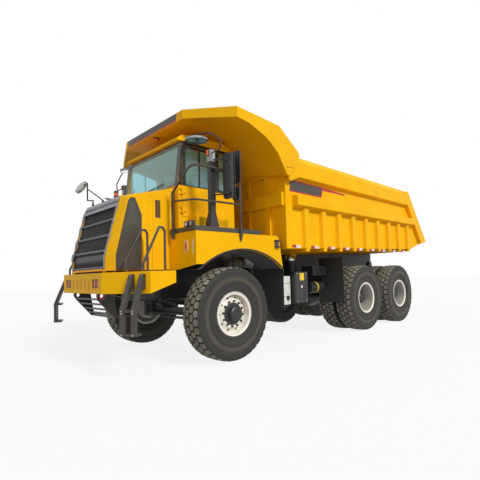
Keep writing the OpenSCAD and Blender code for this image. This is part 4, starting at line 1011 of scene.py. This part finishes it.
# Boxes and tanks beside the frame: their skins and fittings
BOX_SKIN = 1.35
TANK_SKIN = 1.45
PORT = (-1.48, 0.866)
AIR_TANK_X = -2.86
AIR_TANK_BAND = [(0.1155, -0.018), (0.1185, -0.018), (0.1185, 0.018), (0.1155, 0.018)]
VENT_SKIN = 1.24
TOW_SKIN = 0.479
TOW_PLACE = (1.595, 1.09)
TOW_BORE = 0.03
TOW_RING = 0.052
STRAP_FOOT = 0.762
STRAP_BOLTS_Z = (0.8, 1.32)
FUEL_CAP = [(0.055, 0), (0.055, 0.03), (0.07, 0.032), (0.07, 0.06), (0.06, 0.068), (0, 0.07)]


def add_straps(shape, side, spots, half, top, depths, look):
    """Straps over a box or tank, each with two bolts."""
    wall = on_side(side, TANK_SKIN)
    for x in spots:
        shape.plate(strip(x, half, (STRAP_FOOT, top)), *depths, wall, look)
        for z in STRAP_BOLTS_Z:
            shape.stud(wall(x, z, depths[1]), Vector((0, side, 0)), 0.012, 0.008, 2)


def add_left_boxes(shape):
    """The white box, the black one with straps and labels, the small tank and the vented box."""
    box = on_side(1, BOX_SKIN)
    tank = on_side(1, TANK_SKIN)
    port = ellipse(*PORT, 0.05, 0.05, 20)
    shape.ring(rounded((-1.546, -1.344), (0.75, 1.281), 0.02), port, 0.0005, 0.012, box, 0)
    shape.plate(port, 0.0005, 0.003, box, 1)
    for z in (0.9, 1.14):
        shape.plate(oblong((-1.546, -1.344), (z, z + 0.006)), 0.012, 0.015, box, 3)
    shape.plate(rounded((-1.955, -1.575), (0.77, 1.345), 0.02), 0.0005, 0.006, tank, 1)
    add_straps(shape, 1, (-1.9, -1.63), 0.018, 1.353, (0.006, 0.011), 3)
    shape.plate(rounded((-1.85, -1.72), (1.19, 1.33), 0.006), 0.006, 0.0072, tank, 4)
    shape.plate(rounded((-1.8, -1.755), (1.045, 1.095), 0.006), 0.006, 0.0072, tank, 0)
    for step, look in ((0.07, 1), (0.24, 4), (0.43, 1)):
        shape.lathe(AIR_TANK_BAND, 36, look, turned(at(AIR_TANK_X + step, 1.1, 1.015), "Z"))
    vents = on_side(1, VENT_SKIN)
    for k in range(9):
        shape.plate(strip(AIR_TANK_X + 0.01 + 0.055 * k, 0.008, (1.285, 1.455)), 0.0005, 0.012, vents, 1)


def add_underframe():
    """Covers, straps and labels beside the frame, and the red rings at the tow bores."""
    shape = Shape()
    add_left_boxes(shape)
    add_straps(shape, -1, (-2.05, -1.55), 0.025, 1.358, (0.0005, 0.006), 2)
    shape.lathe(FUEL_CAP, 28, 1, Matrix.Translation(at(-1.8, -1.15, 1.36)) @ Y_UP)
    outer = ellipse(*TOW_PLACE, TOW_RING, TOW_RING, 24)
    bore = ellipse(*TOW_PLACE, TOW_BORE, TOW_BORE, 24)
    for side in (-1, 1):
        shape.ring(outer, bore, 0.0005, 0.018, on_side(side, TOW_SKIN), 5)
    shape.make("underframe_trim", "chassis", WHITE, PLASTIC, ZINC, DARK_STEEL, LABEL_YELLOW, RED_PAINT)


# Seat: cells of a cushion along each axis, and how it bulges and rounds off
PAD_CELLS = (22, 22, 8)
SIDE_PULL = 0.05
SEAM_HALF = 0.035
SEAM_DEPTH = 0.01
EDGE_FALL = 0.018


def shell_cells(count):
    """Keys and faces of a box of cells, over its six sides."""
    index, faces = {}, []
    for axis in range(3):
        u, v = [k for k in range(3) if k != axis]
        for end, i, j in product((0, count[axis]), range(count[u]), range(count[v])):
            corner = []
            for di, dj in ((0, 0), (1, 0), (1, 1), (0, 1)):
                key = [0, 0, 0]
                key[axis], key[u], key[v] = end, i + di, j + dj
                corner.append(index.setdefault(tuple(key), len(index)))
            faces.append(tuple(corner))
    return list(index), faces


def pad(low, high, bulge, seams, move):
    """A stuffed form: a fine box with a bulging top and sewn channels across it."""
    size = [high[k] - low[k] for k in range(3)]
    middle = [(low[k] + high[k]) / 2 for k in range(3)]
    keys, faces = shell_cells(PAD_CELLS)
    points = []
    for key in keys:
        t = [2 * key[k] / PAD_CELLS[k] - 1 for k in range(3)]
        on_top = key[2] == PAD_CELLS[2]
        swell = (1 - t[0] ** 4) * (1 - t[1] ** 4)
        pull = 1 - SIDE_PULL * (abs(t[0]) ** 6 + abs(t[1]) ** 6) * (1 - 0.6 * abs(t[2]))
        z = middle[2] + t[2] * (size[2] / 2 - bulge)
        if on_top:
            z += bulge * swell
            z -= sum(exp(-((t[0] - s) / SEAM_HALF) ** 2) for s in seams) * SEAM_DEPTH
            z -= EDGE_FALL * (abs(t[0]) ** 10 + abs(t[1]) ** 10)
        points.append((middle[0] + t[0] * size[0] / 2 * pull, middle[1] + t[1] * size[1] / 2 * pull, z))
    shape = Shape()
    shape.add(points, faces, 0, move)
    return shape


# Cab fittings, in metres from the front axle
CUSHION = ((-0.345, 0.125, 2.425), (0.135, 0.615, 2.54))
SEAT_BACK = ((0, 0.135, 0), (0.6, 0.605, 0.105))
BACK_LEAN = atan2(0.09, 0.62)
SEAT_BASE = ((-0.33, 0.12), (0.13, 0.61))
DASH = [(0.34, 2.112), (0.535, 2.112), (0.535, 2.7), (0.5, 2.748), (0.4, 2.748), (0.345, 2.69)]
BINNACLE = [(0.36, 2.69), (0.42, 2.745), (0.5, 2.745), (0.5, 2.69)]
WHEEL_PLACE = (0.19, 0.37, 2.87)
WHEEL_R = 0.19
WHEEL_TILT = radians(-38.7)


def add_steering_wheel(shape):
    """The column, the rim, three spokes and the boss."""
    shape.tube([at(0.35, 0.37, 2.67), at(*WHEEL_PLACE)], 0.026, 20)
    wheel = turned(at(*WHEEL_PLACE), "Y", WHEEL_TILT)
    shape.loop_tube([wheel @ Vector((x, y, 0)) for x, y in circle(WHEEL_R, 40)], 0.0135, 12)
    for t in (0, tau / 3, tau * 2 / 3):
        ray = Vector((cos(t), sin(t), 0))
        shape.tube([wheel @ (0.03 * ray), wheel @ (0.185 * ray)], 0.009, 8)
    shape.disc(0.055, -0.012, 0.012, 24, 0, wheel @ Y_UP)


def add_seat():
    """Seat, dashboard and steering wheel, at the places of the plain cab fittings."""
    seat = pad(*CUSHION, 0.016, (-0.33, 0.33), TRUCK_MOVE)
    back_turn = Matrix.Rotation(-BACK_LEAN - QUARTER, 4, "Y")
    back_move = TRUCK_MOVE @ Matrix.Translation((-0.245, 0, 2.545)) @ back_turn
    back = pad(*SEAT_BACK, 0.014, (-0.4, 0, 0.4), back_move)
    fitting = Shape()
    fitting.prism(oblong(*SEAT_BASE), 2.112, 2.2, 0, TRUCK_MOVE)
    for k in range(5):
        low = 2.205 + 0.042 * k
        outline = oblong(*(within(span, 0.02 if k % 2 else 0.045) for span in SEAT_BASE))
        fitting.prism(outline, low, low + 0.043, 0, TRUCK_MOVE)
    fitting.plate(DASH, -0.8, 0.8, across, 0)
    fitting.plate(BINNACLE, 0.2, 0.54, across, 0)
    add_steering_wheel(fitting)
    cushion = seat.make("seat_cushion", "chassis", FABRIC, smooth=60)
    rest = back.make("seat_back", "chassis", FABRIC, smooth=60)
    inside = fitting.make("cab_fittings", "chassis", PLASTIC, smooth=40)
    for piece in (cushion, rest, inside):
        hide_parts("cab_interior")


# Stage
WORLD_LEVEL = 0.36
WORLD_COLOR = (1, 0.97, 0.94, 1)
FLOOR_HALF = 60
FLOOR_GREYS = ((0.4, 0.4, 0.4), (0.43, 0.43, 0.43))
# Share of glow in what is seen of the floor, which leaves a soft shadow
FLOOR_GLOW = 0.85


def see_background(nodes, lighting, surface):
    """Mixes the shader that lights the object with one that is seen, whose socket comes back."""
    path = add_node(nodes, "LightPath").outputs
    seen = add_node(nodes, "Math", "MAXIMUM")
    both = add_node(nodes, "Math", "MAXIMUM")
    mix = add_node(nodes, "MixShader")
    link(path["Is Camera Ray"], seen.inputs[0])
    link(path["Is Glossy Ray"], seen.inputs[1])
    link(seen.outputs[0], both.inputs[0])
    link(path["Is Transmission Ray"], both.inputs[1])
    link(both.outputs[0], mix.inputs["Fac"])
    link(lighting, mix.inputs[1])
    link(mix.outputs[0], surface)
    return mix.inputs[2]


def add_floor():
    mesh = bpy.data.meshes.new("floor")
    span = (-FLOOR_HALF, FLOOR_HALF)
    mesh.from_pydata([(x, y, 0) for x, y in oblong(span, span)], [], [(0, 1, 2, 3)])
    floor = new_object("floor", mesh)
    material, nodes, shader = new_material("floor_white")
    link(noise_ramp(nodes, 0.8, *FLOOR_GREYS)[1], shader.inputs["Base Color"])
    fill(shader, Roughness=0.9)
    bright = add_node(nodes, "BsdfDiffuse", Color=(0.9, 0.9, 0.9, 1))
    glow = add_node(nodes, "Emission", Strength=1)
    pale = add_node(nodes, "MixShader", Fac=FLOOR_GLOW)
    link(bright.outputs[0], pale.inputs[1])
    link(glow.outputs[0], pale.inputs[2])
    surface = nodes["Material Output"].inputs["Surface"]
    link(pale.outputs[0], see_background(nodes, shader.outputs[0], surface))
    # The glow is only seen, so no rays are spent on it as a lamp
    material.cycles.emission_sampling = "NONE"
    mesh.materials.append(material)


def add_world():
    world = bpy.data.worlds.new("studio")
    bpy.context.scene.world = world
    world.use_nodes = True
    nodes = world.node_tree.nodes
    nodes.clear()
    light = add_node(nodes, "Background", Strength=WORLD_LEVEL, Color=WORLD_COLOR)
    white = add_node(nodes, "Background", Strength=1, Color=(1, 1, 1, 1))
    out = add_node(nodes, "OutputWorld")
    link(white.outputs[0], see_background(nodes, light.outputs[0], out.inputs["Surface"]))


def add_sun(name, direction, strength, angle, color):
    data = bpy.data.lights.new(name, "SUN")
    data.energy = strength
    data.angle = radians(angle)
    data.color = color
    lamp = new_object(name, data)
    lamp.rotation_euler = (-Vector(direction)).to_track_quat("-Z", "Y").to_euler()


add_camera()
dress_nodes()
add_tyres()
add_hubs()
add_cab_trim()
add_door_trim()
add_hood_trim()
add_grille_trim()
add_lamps()
add_mirror_glass()
add_decals()
add_fender_trim()
add_ladder_bolts()
add_inner_panels()
add_underframe()
add_seat()
add_floor()
add_world()
add_sun("key", (0, 1, 0.72), 2.3, 12, (1, 0.98, 0.94))
add_sun("fill", (1, 0.3, 0.5), 0.4, 40, (0.95, 0.97, 1))
bpy.context.scene.view_settings.view_transform = "Standard"
